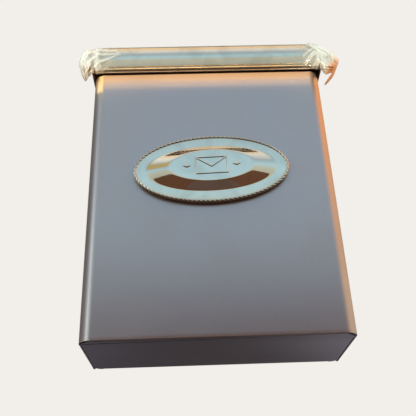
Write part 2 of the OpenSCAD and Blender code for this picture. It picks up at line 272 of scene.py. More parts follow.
class Graph:
    """Short calls that add nodes and links to one node tree."""

    def __init__(self, tree: bpy.types.NodeTree) -> None:
        """Takes the tree to work in."""
        self.tree = tree

    def add(self, kind: str, settings: dict | None = None, **inputs: object) -> bpy.types.Node:
        """Adds a node, sets its settings and fills its inputs.

        Args:
            kind: the node's type name without its ShaderNode prefix.
            settings: attributes of the node.
            inputs: a value or an output socket for each input. A name has _ for a space, and in0, in1 and so
                on stand for the input of that number.

        Returns:
            The node.
        """
        node = self.tree.nodes.new("ShaderNode" + kind)
        for key, value in (settings or {}).items():
            setattr(node, key, value)
        for key, value in inputs.items():
            socket = node.inputs[int(key[2:])] if key[2:].isdigit() else node.inputs[key.replace("_", " ")]
            if isinstance(value, bpy.types.NodeSocket):
                self.tree.links.new(value, socket)
            else:
                socket.default_value = value
        return node

    def math(self, operation: str, *values: object) -> bpy.types.NodeSocket:
        """The output of a Math node on the given values or sockets."""
        inputs = {f"in{i}": value for i, value in enumerate(values)}
        return self.add("Math", {"operation": operation}, **inputs).outputs[0]

    def between(self, value: object, low: float, high: float) -> bpy.types.NodeSocket:
        """0 below low, 1 above high, and a smooth step between."""
        settings = {"interpolation_type": "SMOOTHSTEP"}
        return self.add("MapRange", settings, Value=value, From_Min=low, From_Max=high).outputs[0]

    def mix(self, factor: object, a: object, b: object) -> bpy.types.NodeSocket:
        """Colour a where the factor is 0 and b where it is 1."""
        return self.add("Mix", {"data_type": "RGBA"}, in0=factor, in6=a, in7=b).outputs[2]

    def mask(self, name: str) -> bpy.types.NodeSocket:
        """A mask that the mesh carries, or 0 on a mesh without it."""
        return self.add("Attribute", {"attribute_name": name}).outputs["Fac"]

    def feed(self, node: bpy.types.Node, sockets: dict[str, bpy.types.NodeSocket]) -> None:
        """Links an output socket to each named input of a node."""
        for key, value in sockets.items():
            self.tree.links.new(value, node.inputs[key])


def rgba(colour: Colour) -> tuple[float, float, float, float]:
    """A colour with full alpha."""
    return (*colour, 1.0)


class Effects:
    """The shader groups that several finishes share. Their inputs are sizes in millimetres."""

    def __init__(self) -> None:
        """Builds each group once."""
        self.peel = self._surface_peel()
        self.grime = self._smudges()

    @staticmethod
    def _group(name: str, inputs: dict[str, float], outputs: list[str]) -> tuple[Graph, dict, bpy.types.Node]:
        """An empty group with number sockets.

        Args:
            name: the group's name.
            inputs: the default value of each input.
            outputs: the names of its outputs.

        Returns:
            Its graph, its input sockets by name, and its output node.
        """
        tree = bpy.data.node_groups.new(name, "ShaderNodeTree")
        for key, value in inputs.items():
            socket = tree.interface.new_socket(key, in_out="INPUT", socket_type="NodeSocketFloat")
            socket.default_value = value
        for key in outputs:
            tree.interface.new_socket(key, in_out="OUTPUT", socket_type="NodeSocketFloat")
        enter, leave = tree.nodes.new("NodeGroupInput"), tree.nodes.new("NodeGroupOutput")
        return Graph(tree), {key: enter.outputs[key] for key in inputs}, leave

    def _surface_peel(self) -> bpy.types.NodeTree:
        """Height of a sprayed or cast surface, rounded cells with a finer grain, and a speckle mask.

        Returns:
            The group. Its grain is a share of the cells' height, not a size.
        """
        g, enter, leave = self._group("surface_peel", {"Cell": 1.6, "Grain": 0.25}, ["Height", "Speckle"])
        place = g.add("TexCoord").outputs["Object"]
        cells = g.math("DIVIDE", 1 / MM, enter["Cell"])
        swell = g.add("TexNoise", Vector=place, Scale=cells, Detail=1.0, Roughness=0.4).outputs[0]
        fine = g.add("TexNoise", Vector=place, Scale=g.math("MULTIPLY", cells, 5.3), Detail=2.0).outputs[0]
        height = g.math("ADD", swell, g.math("MULTIPLY", fine, enter["Grain"]))
        g.tree.links.new(height, leave.inputs["Height"])
        speck = g.add("TexNoise", Vector=place, Scale=g.math("MULTIPLY", cells, 2.1), Detail=3.0).outputs[0]
        g.tree.links.new(g.between(speck, 0.35, 0.68), leave.inputs["Speckle"])
        return g.tree

    def _smudges(self) -> bpy.types.NodeTree:
        """Soft patches of handling marks and dust, and a few thin drawn streaks, as two masks.

        Returns:
            The group.
        """
        g, enter, leave = self._group("smudges", {"Patch": 45.0, "Streak": 6.0}, ["Patches", "Streaks"])
        place = g.add("TexCoord").outputs["Object"]
        scale = g.math("DIVIDE", 1 / MM, enter["Patch"])
        wide = g.add("TexNoise", Vector=place, Scale=scale, Detail=4.0, Distortion=0.6).outputs[0]
        g.tree.links.new(g.between(wide, 0.38, 0.7), leave.inputs["Patches"])
        drawn = g.add("Mapping", Vector=place, Scale=(0.06, 1.0, 1.0)).outputs[0]
        thin = g.math("DIVIDE", 1 / MM, enter["Streak"])
        lines = g.add("TexNoise", Vector=drawn, Scale=thin, Detail=5.0).outputs[0]
        g.tree.links.new(g.between(lines, 0.45, 0.75), leave.inputs["Streaks"])
        return g.tree


def new_material(name: str) -> tuple[bpy.types.Material, Graph, bpy.types.Node]:
    """Makes a material that has only its Principled node.

    Args:
        name: the material's name.

    Returns:
        The material, its graph and its Principled node.
    """
    material = bpy.data.materials.new(name)
    material.use_nodes = True
    tree = material.node_tree
    return material, Graph(tree), tree.nodes["Principled BSDF"]


@dataclass(frozen=True)
class EnamelFinish:
    """Dark brown baked enamel with a metallic base, over a fine orange-peel grain, lighter and warmer along folded
    edges as partly edge wear and partly painted highlight.
    """

    colour: Colour = (0.125, 0.098, 0.085)
    edge_wear_and_highlight: Colour = (0.42, 0.30, 0.18)
    sheen: Colour = (1.0, 0.94, 0.93)
    dark_speck: float = 0.82
    light_speck: float = 1.22
    roughness: float = 0.34
    index: float = 2.6

    def build(self, effects: Effects) -> bpy.types.Material:
        """Makes the material.

        Args:
            effects: the shared shader groups.

        Returns:
            The material.
        """
        material, g, shader = new_material("bronze_enamel")
        peel = g.add("Group", {"node_tree": effects.peel}, Cell=1.5, Grain=0.5)
        marks = g.add("Group", {"node_tree": effects.grime}, Patch=60.0, Streak=9.0)
        darker = tuple(self.dark_speck * c for c in self.colour)
        lighter = tuple(self.light_speck * c for c in self.colour)
        tone = g.mix(peel.outputs["Speckle"], rgba(darker), rgba(lighter))
        # Folded edges turn warm gold: partly edge wear, partly a painted highlight.
        tone = g.mix(g.math("MULTIPLY", g.mask("fold"), 0.5), tone, rgba(self.edge_wear_and_highlight))
        rough = g.math("MULTIPLY_ADD", marks.outputs["Patches"], 0.05, self.roughness)
        rough = g.math("MULTIPLY_ADD", peel.outputs["Speckle"], 0.04, rough)
        bump = g.add("Bump", Height=peel.outputs["Height"], Strength=0.16, Distance=0.0002)
        g.feed(shader, {"Base Color": tone, "Roughness": rough, "Normal": bump.outputs[0]})
        shader.inputs["IOR"].default_value = self.index
        shader.inputs["Specular Tint"].default_value = rgba(self.sheen)
        shader.inputs["Specular IOR Level"].default_value = 1.0
        return material


@dataclass(frozen=True)
class BrassFinish:
    """Polished and lacquered brass, with faint drawn lines, a few dull patches, and painted shade in its recesses.
    """

    colour: Colour = (0.74, 0.68, 0.53)
    # Colour of the painted shade in grooves, valleys and undersides.
    painted_shade: Colour = (0.10, 0.07, 0.045)
    dullness: float = 0.86
    roughness: float = 0.07

    def build(self, effects: Effects) -> bpy.types.Material:
        """Makes the material.

        Args:
            effects: the shared shader groups.

        Returns:
            The material.
        """
        material, g, shader = new_material("polished_brass")
        peel = g.add("Group", {"node_tree": effects.peel}, Cell=9.0, Grain=0.2)
        marks = g.add("Group", {"node_tree": effects.grime}, Patch=26.0, Streak=1.4)
        dull = tuple(self.dullness * c for c in self.colour)
        tone = g.mix(marks.outputs["Patches"], rgba(self.colour), rgba(dull))
        # Painted shade: the recess mask darkens grooves, valleys and undersides towards a near-black brown.
        tone = g.mix(g.math("MULTIPLY", g.mask("recess"), 0.9), tone, rgba(self.painted_shade))
        rough = g.math("MULTIPLY_ADD", marks.outputs["Streaks"], 0.06, self.roughness)
        rough = g.math("MULTIPLY_ADD", g.mask("recess"), 0.3, rough)
        height = g.math("MULTIPLY_ADD", marks.outputs["Streaks"], 0.12, peel.outputs["Height"])
        bump = g.add("Bump", Height=height, Strength=0.05, Distance=0.0004)
        g.feed(shader, {"Base Color": tone, "Roughness": rough, "Normal": bump.outputs[0]})
        shader.inputs["Metallic"].default_value = 1.0
        return material


@dataclass(frozen=True)
class PlatedFinish:
    """Zinc plate or phosphated spring steel: a grey metal with cloudy patches."""

    name: str
    colour: Colour
    roughness: float
    dullness: float = 0.72

    def build(self, effects: Effects) -> bpy.types.Material:
        """Makes the material.

        Args:
            effects: the shared shader groups.

        Returns:
            The material.
        """
        material, g, shader = new_material(self.name)
        peel = g.add("Group", {"node_tree": effects.peel}, Cell=0.8, Grain=0.6)
        marks = g.add("Group", {"node_tree": effects.grime}, Patch=4.0, Streak=0.8)
        dull = tuple(self.dullness * c for c in self.colour)
        tone = g.mix(marks.outputs["Patches"], rgba(self.colour), rgba(dull))
        rough = g.math("MULTIPLY_ADD", marks.outputs["Patches"], 0.16, self.roughness)
        bump = g.add("Bump", Height=peel.outputs["Height"], Strength=0.2, Distance=0.0001)
        g.feed(shader, {"Base Color": tone, "Roughness": rough, "Normal": bump.outputs[0]})
        shader.inputs["Metallic"].default_value = 0.9
        return material


@dataclass(frozen=True)
class FilmFinish:
    """Thin clear film: nearly unseen where it lies flat, milky where it is gathered, and whitened along creases,
    partly on its own and partly as painted highlight.
    """

    veil: Colour = (0.80, 0.82, 0.72)
    crease: Colour = (1.0, 1.0, 0.88)
    # Colours of painted warm light on the lower side of the right and left gathered ends.
    copper: Colour = (0.80, 0.31, 0.11)
    husk: Colour = (0.62, 0.54, 0.42)
    flat_alpha: float = 0.06
    gathered_alpha: float = 0.70
    crease_alpha: float = 0.5
    tone_alpha: float = 0.3
    roughness: float = 0.14

    def build(self, effects: Effects) -> bpy.types.Material:
        """Makes the material.

        Args:
            effects: the shared shader groups.

        Returns:
            The material.
        """
        material, g, shader = new_material("clear_film")
        gather, crease = g.mask("gather"), g.mask("crease")
        marks = g.add("Group", {"node_tree": effects.grime}, Patch=14.0, Streak=2.5)
        # Creases turn near white and more opaque: partly the film's own whitening, partly a painted highlight.
        tone = g.mix(crease, rgba(self.veil), rgba(self.crease))
        # Painted light: copper and beige on the lower side of the gathered ends stand for warm light shining
        # through them.
        tone = g.mix(g.mask("copper"), tone, rgba(self.copper))
        tone = g.mix(g.mask("husk"), tone, rgba(self.husk))
        alpha = g.math("MULTIPLY_ADD", gather, self.gathered_alpha - self.flat_alpha, self.flat_alpha)
        alpha = g.math("MULTIPLY_ADD", crease, self.crease_alpha, alpha)
        toned = g.math("ADD", g.mask("copper"), g.mask("husk"))
        alpha = g.math("MULTIPLY_ADD", toned, self.tone_alpha, alpha)
        alpha = g.math("MULTIPLY_ADD", marks.outputs["Streaks"], 0.06, alpha)
        rough = g.math("MULTIPLY_ADD", marks.outputs["Patches"], 0.12, self.roughness)
        g.feed(shader, {"Base Color": tone, "Roughness": rough, "Alpha": g.math("MINIMUM", alpha, 1.0)})
        shader.inputs["Specular IOR Level"].default_value = 0.8
        shader.inputs["Coat Weight"].default_value = 0.4
        shader.inputs["Coat Roughness"].default_value = 0.05
        return material


# ---------------------------------------------------------------- body


@dataclass
class Body:
    """The bent front and side sheet, and the floor tray."""

    enamel: bpy.types.Material
    extent: Extent = field(default_factory=lambda: Extent.of("body_wrap"))
    floor: Extent = field(default_factory=lambda: Extent.of("bottom_panel"))
    sheet: float = 0.7
    corner: float = 12.0
    rear_bend: float = 2.0
    rear_flange: float = 16.0
    hem: float = 6.0
    no_hem: float = 0.02
    front_height: float = 144.0
    front_end: float = 18.0
    scoop: float = 20.0
    slope: float = math.tan(math.radians(8))
    hinge_y: float = -12.0
    floor_flange: float = 12.0
    floor_cut: tuple[float, float] = (11.0, 8.0)
    floor_round: float = 8.0
    floor_bend: float = 1.6
    floor_side_end: float = -14.0
    notch: float = 18.0

    def _half_path(self) -> tuple[np.ndarray, np.ndarray, np.ndarray]:
        """Left half of the sheet's plan, from the rear flange's end to the middle of the front.

        Returns:
            The points of the outer face, the outward directions there, and how fully the hems are folded.
        """
        x, front = self.extent.low[0], self.extent.low[1]
        rear = -self.sheet - self.rear_bend
        bend = front + self.corner
        ends = np.array([0.0, 0.6, 1.5, 3.0])
        side_rows, front_rows = 10, 14
        middle = np.linspace(5, rear - bend - 5, side_rows)
        steps = np.concatenate([ends, middle, (rear - bend - ends)[::-1]])
        fold = smooth(ends / 1.5) * (1 - self.no_hem) + self.no_hem
        flange = line((x + self.rear_flange, -self.sheet), (x + self.rear_bend + 0.05, -self.sheet), 3)
        parts = [
            (flange, 90.0, self.no_hem),
            (arc(x + self.rear_bend, rear, self.rear_bend, 90, 180, 7), None, self.no_hem),
            (np.stack([np.full(len(steps), x), rear - steps], -1), 180.0, "side"),
            (arc(x + self.corner, bend, self.corner, 180, 270, 22), None, self.no_hem),
        ]
        run = np.concatenate([ends, np.linspace(6, -x - self.corner, front_rows)])
        parts.append((np.stack([x + self.corner + run, np.full(len(run), front)], -1), 270.0, "front"))
        centres = {1: (x + self.rear_bend, rear), 3: (x + self.corner, bend)}
        points = np.concatenate([part[0] for part in parts])
        outward, hems = [], []
        for number, (places, angle, weight) in enumerate(parts):
            if angle is None:
                away = places - np.array(centres[number])
                outward.append(away / np.linalg.norm(away, axis=1, keepdims=True))
            else:
                direction = (math.cos(math.radians(angle)), math.sin(math.radians(angle)))
                outward.append(np.tile(direction, (len(places), 1)))
            if weight == "side":
                hems.append(np.concatenate([fold, np.ones(side_rows), fold[::-1]]))
            elif weight == "front":
                hems.append(np.concatenate([fold, np.ones(front_rows)]))
            else:
                hems.append(np.full(len(places), weight))
        return points, np.concatenate(outward), np.concatenate(hems)

    def _top(self, y: np.ndarray) -> np.ndarray:
        """Height of the sheet's top edge: level in front, up a steep scoop, then along the lid's underside.

        Args:
            y: places from front to rear.

        Returns:
            The height at each place.
        """
        front = self.extent.low[1]
        start = front + self.front_end
        rest = start + self.scoop
        high = self.extent.high[2]
        under = high + (np.minimum(y, self.hinge_y) - self.hinge_y) * self.slope
        at_rest = high + (rest - self.hinge_y) * self.slope
        climb = self.front_height + (at_rest - self.front_height) * (y - start) / self.scoop
        return np.where(y < start, self.front_height, np.where(y < rest, climb, under))

    def wrap(self) -> Shell:
        """Front and sides: a sheet section, closed by a hem at its top and bottom, along the bent plan.

        A hem's fold is a half circle whose radius is t (1 + w) / 2, where w runs from 0, no hem, to 1, a full
        hem.

        Returns:
            The shell.
        """
        half, away, fold = self._half_path()
        flip = np.array([-1.0, 1.0])
        points = np.concatenate([half, half[-2::-1] * flip])
        away = np.concatenate([away, away[-2::-1] * flip])
        low_fold = np.concatenate([fold, fold[-2::-1]])
        on_front = points[:, 1] < self.extent.low[1] + 0.01
        top_fold = np.where(on_front, low_fold, self.no_hem)
        low_fold = np.where(points[:, 1] > -6, self.no_hem, low_fold)
        flange_x = -self.extent.low[0] - self.rear_bend - 0.01
        on_flange = (points[:, 1] > -self.sheet - 0.01) & (np.abs(points[:, 0]) < flange_x)
        low, high = self.extent.low[2] + self.notch * on_flange, self._top(points[:, 1])
        t = self.sheet
        r0, r1 = t * (1 + low_fold) / 2, t * (1 + top_fold) / 2
        turn = np.linspace(0, math.pi, 9)
        share = np.array([0.0, 0.01, 0.03, 0.08, 0.3, 0.5, 0.7, 0.92, 0.97, 0.99, 1.0])
        outer_z = (low + r0)[:, None] + ((high - r1) - (low + r0))[:, None] * share
        ones = np.ones_like(high)[:, None]
        depth = [0 * outer_z, r1[:, None] * (1 - np.cos(turn[1:]))]
        height = [outer_z, (high - r1)[:, None] + r1[:, None] * np.sin(turn[1:])]
        inner_z = (high - self.hem)[:, None] + (low + self.hem - high + self.hem)[:, None] * share
        depth += [2 * r1[:, None], t * ones * np.ones_like(share), 2 * r0[:, None]]
        height += [(high - self.hem)[:, None], inner_z, (low + self.hem)[:, None]]
        depth.append(r0[:, None] * (1 + np.cos(turn[:-1])))
        height.append((low + r0)[:, None] - r0[:, None] * np.sin(turn[:-1]))
        depth, height = np.concatenate(depth, 1), np.concatenate(height, 1)
        grid = np.empty((*depth.shape, 3))
        grid[..., :2] = points[:, None] - away[:, None] * depth[..., None]
        grid[..., 2] = height
        # Mask at the hems, for the enamel's edge wear and painted highlight.
        near = np.minimum(np.abs(height - low[:, None]), np.abs(height - high[:, None]))
        return loft(grid, masks={"fold": np.exp(-near / 0.6) * (depth < t)})

    def _floor_rows(self) -> list[np.ndarray]:
        """Right half of the floor's outline, from the middle of the front to the middle of the rear.

        Returns:
            Arrays of point, outward direction, flange weight and extra flange height, one for each stretch.
        """
        x, front = self.floor.high[0], self.floor.low[1]
        cut_x, cut_y = self.floor_cut
        rear = -self.sheet
        slant = np.array([cut_y, -cut_x]) / math.hypot(cut_x, cut_y)
        corner = arc(x - self.floor_round, rear - self.floor_round, self.floor_round, 0, 90, 9)
        radial = (corner - [x - self.floor_round, rear - self.floor_round]) / self.floor_round
        shoulder = front + self.corner

        def stretch(points: np.ndarray, away: np.ndarray, flange: float, extra: float = 0.0) -> np.ndarray:
            """One stretch of the outline.

            Args:
                points: its points.
                away: the outward direction, one for all or one for each point.
                flange: weight of the flange, 0 or 1.
                extra: extra height of the flange.

            Returns:
                An array of shape (count, 6).
            """
            count = len(points)
            turned = np.broadcast_to(away, (count, 2))
            return np.hstack([points, turned, np.tile((flange, extra), (count, 1))])

        return [
            stretch(line((0, front), (x - cut_x, front), 6), np.array([0, -1.0]), 1),
            stretch(line((x - cut_x, front), (x, front + cut_y), 4), slant, 0),
            stretch(line((x, front + cut_y), (x, shoulder), 2), np.array([1.0, 0]), 0),
            stretch(line((x, shoulder), (x, self.floor_side_end), 6), np.array([1.0, 0]), 1),
            stretch(corner, radial, 0),
            stretch(line((x - self.floor_round - 0.8, rear), (0, rear), 5), np.array([0, 1.0]), 1, 4),
        ]

    def tray(self) -> Shell:
        """Floor with upright flanges: a bent sheet section set at each place of the outline.

        The section is the blend (1 - w) flat edge + w flange, where the flange is a quarter bend and an
        upright wall.

        Returns:
            The shell.
        """
        right = np.concatenate(self._floor_rows())
        mirror = right[-2:0:-1] * np.array([-1.0, 1, -1, 1, 1, 1])
        outline = np.concatenate([right, mirror])
        t, r = self.sheet, self.floor_bend
        flat = np.concatenate([line((r, 0), (t, 0), 9), arc(t / 2, t / 2, t / 2, -90, -270, 11)])
        flat = np.concatenate([flat, line((t, t), (r, t), 9)])
        wall = np.concatenate([arc(r, r, r, 270, 180, 9), arc(t / 2, self.floor_flange, t / 2, 180, 0, 11)])
        wall = np.concatenate([wall, arc(r, r, r - t, 180, 270, 9)])
        weight, extra = outline[:, 4, None], outline[:, 5, None]
        inset = (1 - weight) * flat[:, 0] + weight * wall[:, 0]
        height = (1 - weight) * flat[:, 1] + weight * wall[:, 1]
        height = height + extra * (height > 2 * r)
        grid = np.empty((*inset.shape, 3))
        grid[..., :2] = outline[:, None, :2] - outline[:, None, 2:4] * inset[..., None]
        grid[..., 2] = self.floor.low[2] + height
        # Mask along the floor's bend, for the enamel's edge wear and painted highlight.
        return loft(grid.swapaxes(0, 1), masks={"fold": 0.4 * np.exp(-((height.T - r / 2) / r) ** 2)})

    def build(self) -> None:
        """Makes the sheet and the tray, and puts them in place of their nodes."""
        sheets = (("front_sheet", self.wrap(), "body_wrap"), ("floor_tray", self.tray(), "bottom_panel"))
        for name, shell, node in sheets:
            piece = make_piece(name, [shell], self.enamel)
            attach(piece, "body")
            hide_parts(node)
            log.info("%s: %d faces", name, len(piece.data.polygons))


# ---------------------------------------------------------------- lid


@dataclass
class Lid:
    """The folded lid: roof, two cheeks, hemmed lip with corner tabs, and rolled knuckles on the hinge rod."""

    enamel: bpy.types.Material
    extent: Extent = field(default_factory=lambda: Extent.of("lid_shell"))
    sheet: float = 0.7
    bend: float = 1.8
    slope: float = 8.0
    hem: float = 5.0
    front_z: float = 174.0
    low_turn_y: float = -75.0
    back_low_z: float = 159.1
    roof_end: float = 3.6
    rear_drop: float = 3.4
    bore: float = 1.55
    knuckles: int = 7
    knuckle_span: float = 231.0
    knuckle_gap: float = 0.5
    tab: tuple[float, float] = (10.0, 25.0)
    tab_lift: float = 4.0

    def __post_init__(self) -> None:
        """Reads the hinge axis from the frame."""
        _, y, z = frame["joints"][0]["pos_m"]
        self.hinge = (y / MM, z / MM)

    def _top(self, y: np.ndarray | float) -> np.ndarray | float:
        """Height of the roof's upper face at y."""
        return self.front_z + (y - self.extent.low[1]) * math.tan(math.radians(self.slope))

    def _plate(self, y: np.ndarray, x: float, low: np.ndarray, high: np.ndarray) -> Shell:
        """Upright sheet that faces sideways, with a round edge above and below.

        Args:
            y: places from front to rear.
            x: the lower x of its two faces.
            low: the lower edge at each place.
            high: the upper edge at each place.

        Returns:
            The shell.
        """
        r = self.sheet / 2
        round_off = arc(r, 0, r, 180, 0, 7)
        under = round_off[::-1] * [1, -1]
        section = np.empty((len(y), 14, 2))
        section[..., 0] = x + np.concatenate([round_off[:, 0], under[:, 0]])
        section[:, :7, 1] = (high - r)[:, None] + round_off[:, 1]
        section[:, 7:, 1] = (low + r)[:, None] + under[:, 1]
        return loft(extrude(section, y, "xzy"))

    def _hood(self) -> Shell:
        """Roof and cheeks: an upside-down U of sheet with two bends, carried back from the lip.

        Returns:
            The shell.
        """
        w, r, t = self.extent.high[0], self.bend, self.sheet
        rear = np.linspace(self.low_turn_y, self.hinge[0] - self.roof_end, 8)
        y = np.concatenate([[self.extent.low[1] + r + 0.4], rear])
        low = self._cheek_low(y)
        roof = self._top(y)
        side = np.linspace(0, 1, 5)
        rise = low[:, None] + t / 2 + (roof - r - low - t / 2)[:, None] * side
        left = [np.stack([np.full((len(y), 5), -w), rise], -1)]
        turn = arc(-w + r, -r, r, 180, 90, 9)[None] + np.zeros((len(y), 1, 1))
        turn[..., 1] += roof[:, None]
        left.append(turn)
        outer = np.concatenate([*left, *[part[:, ::-1] * [-1, 1] for part in left[::-1]]], 1)
        inner_side = left[0] + [t, 0]
        inner_turn = arc(-w + r, -r, r - t, 180, 90, 9)[None] + np.zeros((len(y), 1, 1))
        inner_turn[..., 1] += roof[:, None]
        lower = arc(-w + t / 2, t / 2, t / 2, 0, -180, 7)[None, 1:-1] + np.zeros((len(y), 1, 1))
        lower[..., 1] += low[:, None]
        left_in = np.concatenate([inner_side, inner_turn], 1)
        right_in = (left_in * [-1, 1])[:, ::-1]
        right_lower = (lower * [-1, 1])[:, ::-1]
        inner = np.concatenate([left_in, right_in], 1)[:, ::-1]
        section = np.concatenate([outer, right_lower, inner, lower], 1)
        return loft(extrude(section, y, "xzy"))

    def _cheek_low(self, y: np.ndarray) -> np.ndarray:
        """Lower edge of a cheek: level with the lip, then rising in a straight line to the rear."""
        rise = (y - self.low_turn_y) / (self.extent.high[1] - self.low_turn_y)
        return self.extent.low[2] + (self.back_low_z - self.extent.low[2]) * np.clip(rise, 0, 1)

    def _lip(self) -> Shell:
        """Lip: the roof turns down over a bend to the front face, which ends in a hem folded inwards.

        Towards each side the top is lowered by r - sqrt(r^2 - d^2), so that it meets the round of the cheek's
        bend.

        Returns:
            The shell.
        """
        w, r, t = self.extent.high[0], self.bend, self.sheet
        front, low = self.extent.low[1], self.extent.low[2]
        centre = self._top(front + r) - r / math.cos(math.radians(self.slope))
        end = front + r + 0.4
        outer = arc(front + r, centre, r, 90 + self.slope, 180, 9)
        fold = arc(front + t, low + t, t, 180, 360, 11)
        inner = arc(front + r, centre, r - t, 180, 90 + self.slope, 9)
        section = np.concatenate(
            [
                [[end, self._top(end)]],
                outer,
                line((front, low + 20), (front, low + t), 5),
                fold[1:],
                [[front + 2 * t, low + self.hem], [front + t, low + self.hem]],
                inner,
                [[end, self._top(end) - t]],
            ]
        )
        x = crowded_ends(-w, w, r, 16)
        off = np.clip(np.abs(x) - (w - r), 0, r)
        drop = r - np.sqrt(r * r - off * off)
        section = np.repeat(section[None], len(x), 0)
        near_top = smooth((section[..., 1] - centre + 1) / 1.5)
        section[..., 1] -= drop[:, None] * near_top
        # Mask at the lip's hem, for the enamel's edge wear and painted highlight.
        fold_wear_and_highlight = np.exp(-((section[..., 1] - low) / 0.8) ** 2)
        return loft(extrude(section, x, "yzx"), masks={"fold": fold_wear_and_highlight})

    def _knuckle(self, number: int) -> Shell:
        """One rolled knuckle: the roof's sheet passes under the rod, up behind it and over to the front.

        Args:
            number: its place in the row of knuckles, from the left.

        Returns:
            The shell.
        """
        pitch = self.knuckle_span / self.knuckles
        start = -self.knuckle_span / 2 + number * pitch + self.knuckle_gap / 2
        y, z = self.hinge
        y0 = y - self.roof_end
        inner = arc(y, z, self.bore, self.slope - 90, 196, 30)
        outer = arc(y, z, self.bore + self.sheet, self.slope - 90, 196, 30)
        under = self._top(y0) - self.sheet / math.cos(math.radians(self.slope))
        section = np.concatenate([[[y0, self._top(y0)]], inner, outer[::-1], [[y0, under]]])
        return loft(extrude(section, np.array([start, start + pitch - self.knuckle_gap]), "yzx"))

    def shells(self) -> list[Shell]:
        """Every surface of the folded lid: hood, lip, cheek ends, corner tabs and its share of the knuckles.

        Returns:
            The shells.
        """
        w, t = self.extent.high[0], self.sheet
        rear_y = np.linspace(self.hinge[0] - self.roof_end, self.extent.high[1], 6)
        top = self._top(rear_y[0]) - np.linspace(0, 1, 6) * self.rear_drop
        parts = [self._hood(), self._lip()]
        for side in Side:
            x = side.value * (w - t / 2) - t / 2
            parts.append(self._plate(rear_y, x, self._cheek_low(rear_y), top))
            tab_x = np.array([0.0, self.tab[0]]) * -side.value + side.value * (w - t - 0.05)
            tab_low = self.extent.low[2] + self.tab_lift
            foot = arc(t / 2, tab_low + t / 2, t / 2, 180, 360, 7)
            head = arc(t / 2, tab_low + self.tab[1], t / 2, 0, 180, 7)
            section = np.concatenate([foot, head])
            section = section + [self.extent.low[1] + t + 0.05, 0]
            parts.append(loft(extrude(section, np.sort(tab_x), "yzx")))
        return parts + [self._knuckle(i) for i in range(1, self.knuckles, 2)]

    def build(self) -> None:
        """Makes the lid and puts it in place of its node."""
        piece = make_piece("lid_sheet", self.shells(), self.enamel)
        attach(piece, "lid")
        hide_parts("lid_shell")
        log.info("lid_sheet: %d faces", len(piece.data.polygons))


# ---------------------------------------------------------------- moulding and film


@dataclass
class Moulding:
    """Crowned brass bar with a fine bead along both edges and rounded ends."""

    brass: bpy.types.Material
    extent: Extent = field(default_factory=lambda: Extent.of("trim_moulding"))
    edge_depth: float = 3.0
    bead: float = 0.9
    groove: float = 0.5
    end_round: float = 7.0
    end_flatness: float = 0.55
    seat: float = 0.12

    def __post_init__(self) -> None:
        """Works out the crown: a circular arc through both edges and the deepest point."""
        self.half_h = (self.extent.high[2] - self.extent.low[2]) / 2
        self.mid_z = (self.extent.high[2] + self.extent.low[2]) / 2
        self.lip_y = self.extent.high[1]
        self.crown = self.lip_y - self.extent.low[1]
        rise = self.crown - self.edge_depth
        self.crown_r = (self.half_h**2 + rise**2) / (2 * rise)

    def depth(self, height: np.ndarray) -> np.ndarray:
        """Depth of the crowned face at a height above its middle: crown - r + sqrt(r^2 - h^2)."""
        return self.crown - self.crown_r + np.sqrt(self.crown_r**2 - height**2)

    def _section(self) -> np.ndarray:
        """Outline of the bar as depth and height: crown, groove, bead and edge, and the same mirrored below.

        Returns:
            An array of shape (columns, 2).
        """
        h, b = self.half_h, self.bead
        face = np.linspace(0, h - 2 * b - self.groove - 0.3, 22)
        bead_d = self.edge_depth + 0.2
        half = np.concatenate(
            [
                np.stack([self.depth(face), face], -1),
                [[self.edge_depth + 0.35, h - 2 * b - self.groove], [self.edge_depth, h - 2 * b - 0.2]],
                arc(bead_d - 0.2, h - b, b, -80, 90, 10),
                line((self.edge_depth - 0.8, h), (self.seat, h), 4),
            ]
        )
        return np.concatenate([half[::-1] * [1, -1], half[1:]])

    def shell(self) -> Shell:
        """The bar: its section carried along X, and made smaller towards each end as a quarter round.

        Returns:
            The shell.
        """
        x = crowded_ends(self.extent.low[0], self.extent.high[0], self.end_round, 60)
        off = np.clip(np.abs(x) - (self.extent.high[0] - self.end_round), 0, self.end_round * 0.995)
        shrink = self.end_round - np.sqrt(self.end_round**2 - off**2)
        section = np.repeat(self._section()[None], len(x), 0)
        height = section[..., 1] * (1 - shrink / self.half_h)[:, None]
        flatter = 1 - self.end_flatness * (shrink / self.end_round) ** 1.5
        depth = self.seat + (section[..., 0] - self.seat) * flatter[:, None]
        along = np.broadcast_to(x[:, None], depth.shape)
        grid = np.stack([along, self.lip_y - depth, self.mid_z + height], -1)
        # Painted shade: the groove inside each bead and the bar's underside are marked for darkening.
        groove = np.exp(-(((np.abs(section[..., 1]) - (self.half_h - 2 * self.bead - 0.35)) / 0.35) ** 2))
        below = (section[..., 1] < -self.half_h + 0.05) & (section[..., 0] < self.edge_depth - 0.5)
        return loft(grid, masks={"recess": np.maximum(0.8 * groove, below)})

    def build(self) -> None:
        """Makes the bar and puts it in place of its node."""
        piece = make_piece("brass_moulding", [self.shell()], self.brass)
        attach(piece, "lid")
        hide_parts("trim_moulding")
        log.info("brass_moulding: %d faces", len(piece.data.polygons))


@dataclass
class FilmEnd:
    """A gathered end of the film, drawn by its two edges from the moulding out to the tip, and its depth.

    Edges are (x past the moulding's end, z above the moulding's middle). Depths are (middle, half depth) in
    front of the lip. The tone names the mask that paints warm light on its lower part. Each bold fold runs
    straight from one (x, z) to another, in the measure of the edges.
    """

    side: Side
    upper: list[tuple[float, float]]
    lower: list[tuple[float, float]]
    depths: list[tuple[float, float]]
    tone: str
    folds: list[tuple[float, float, float, float]]


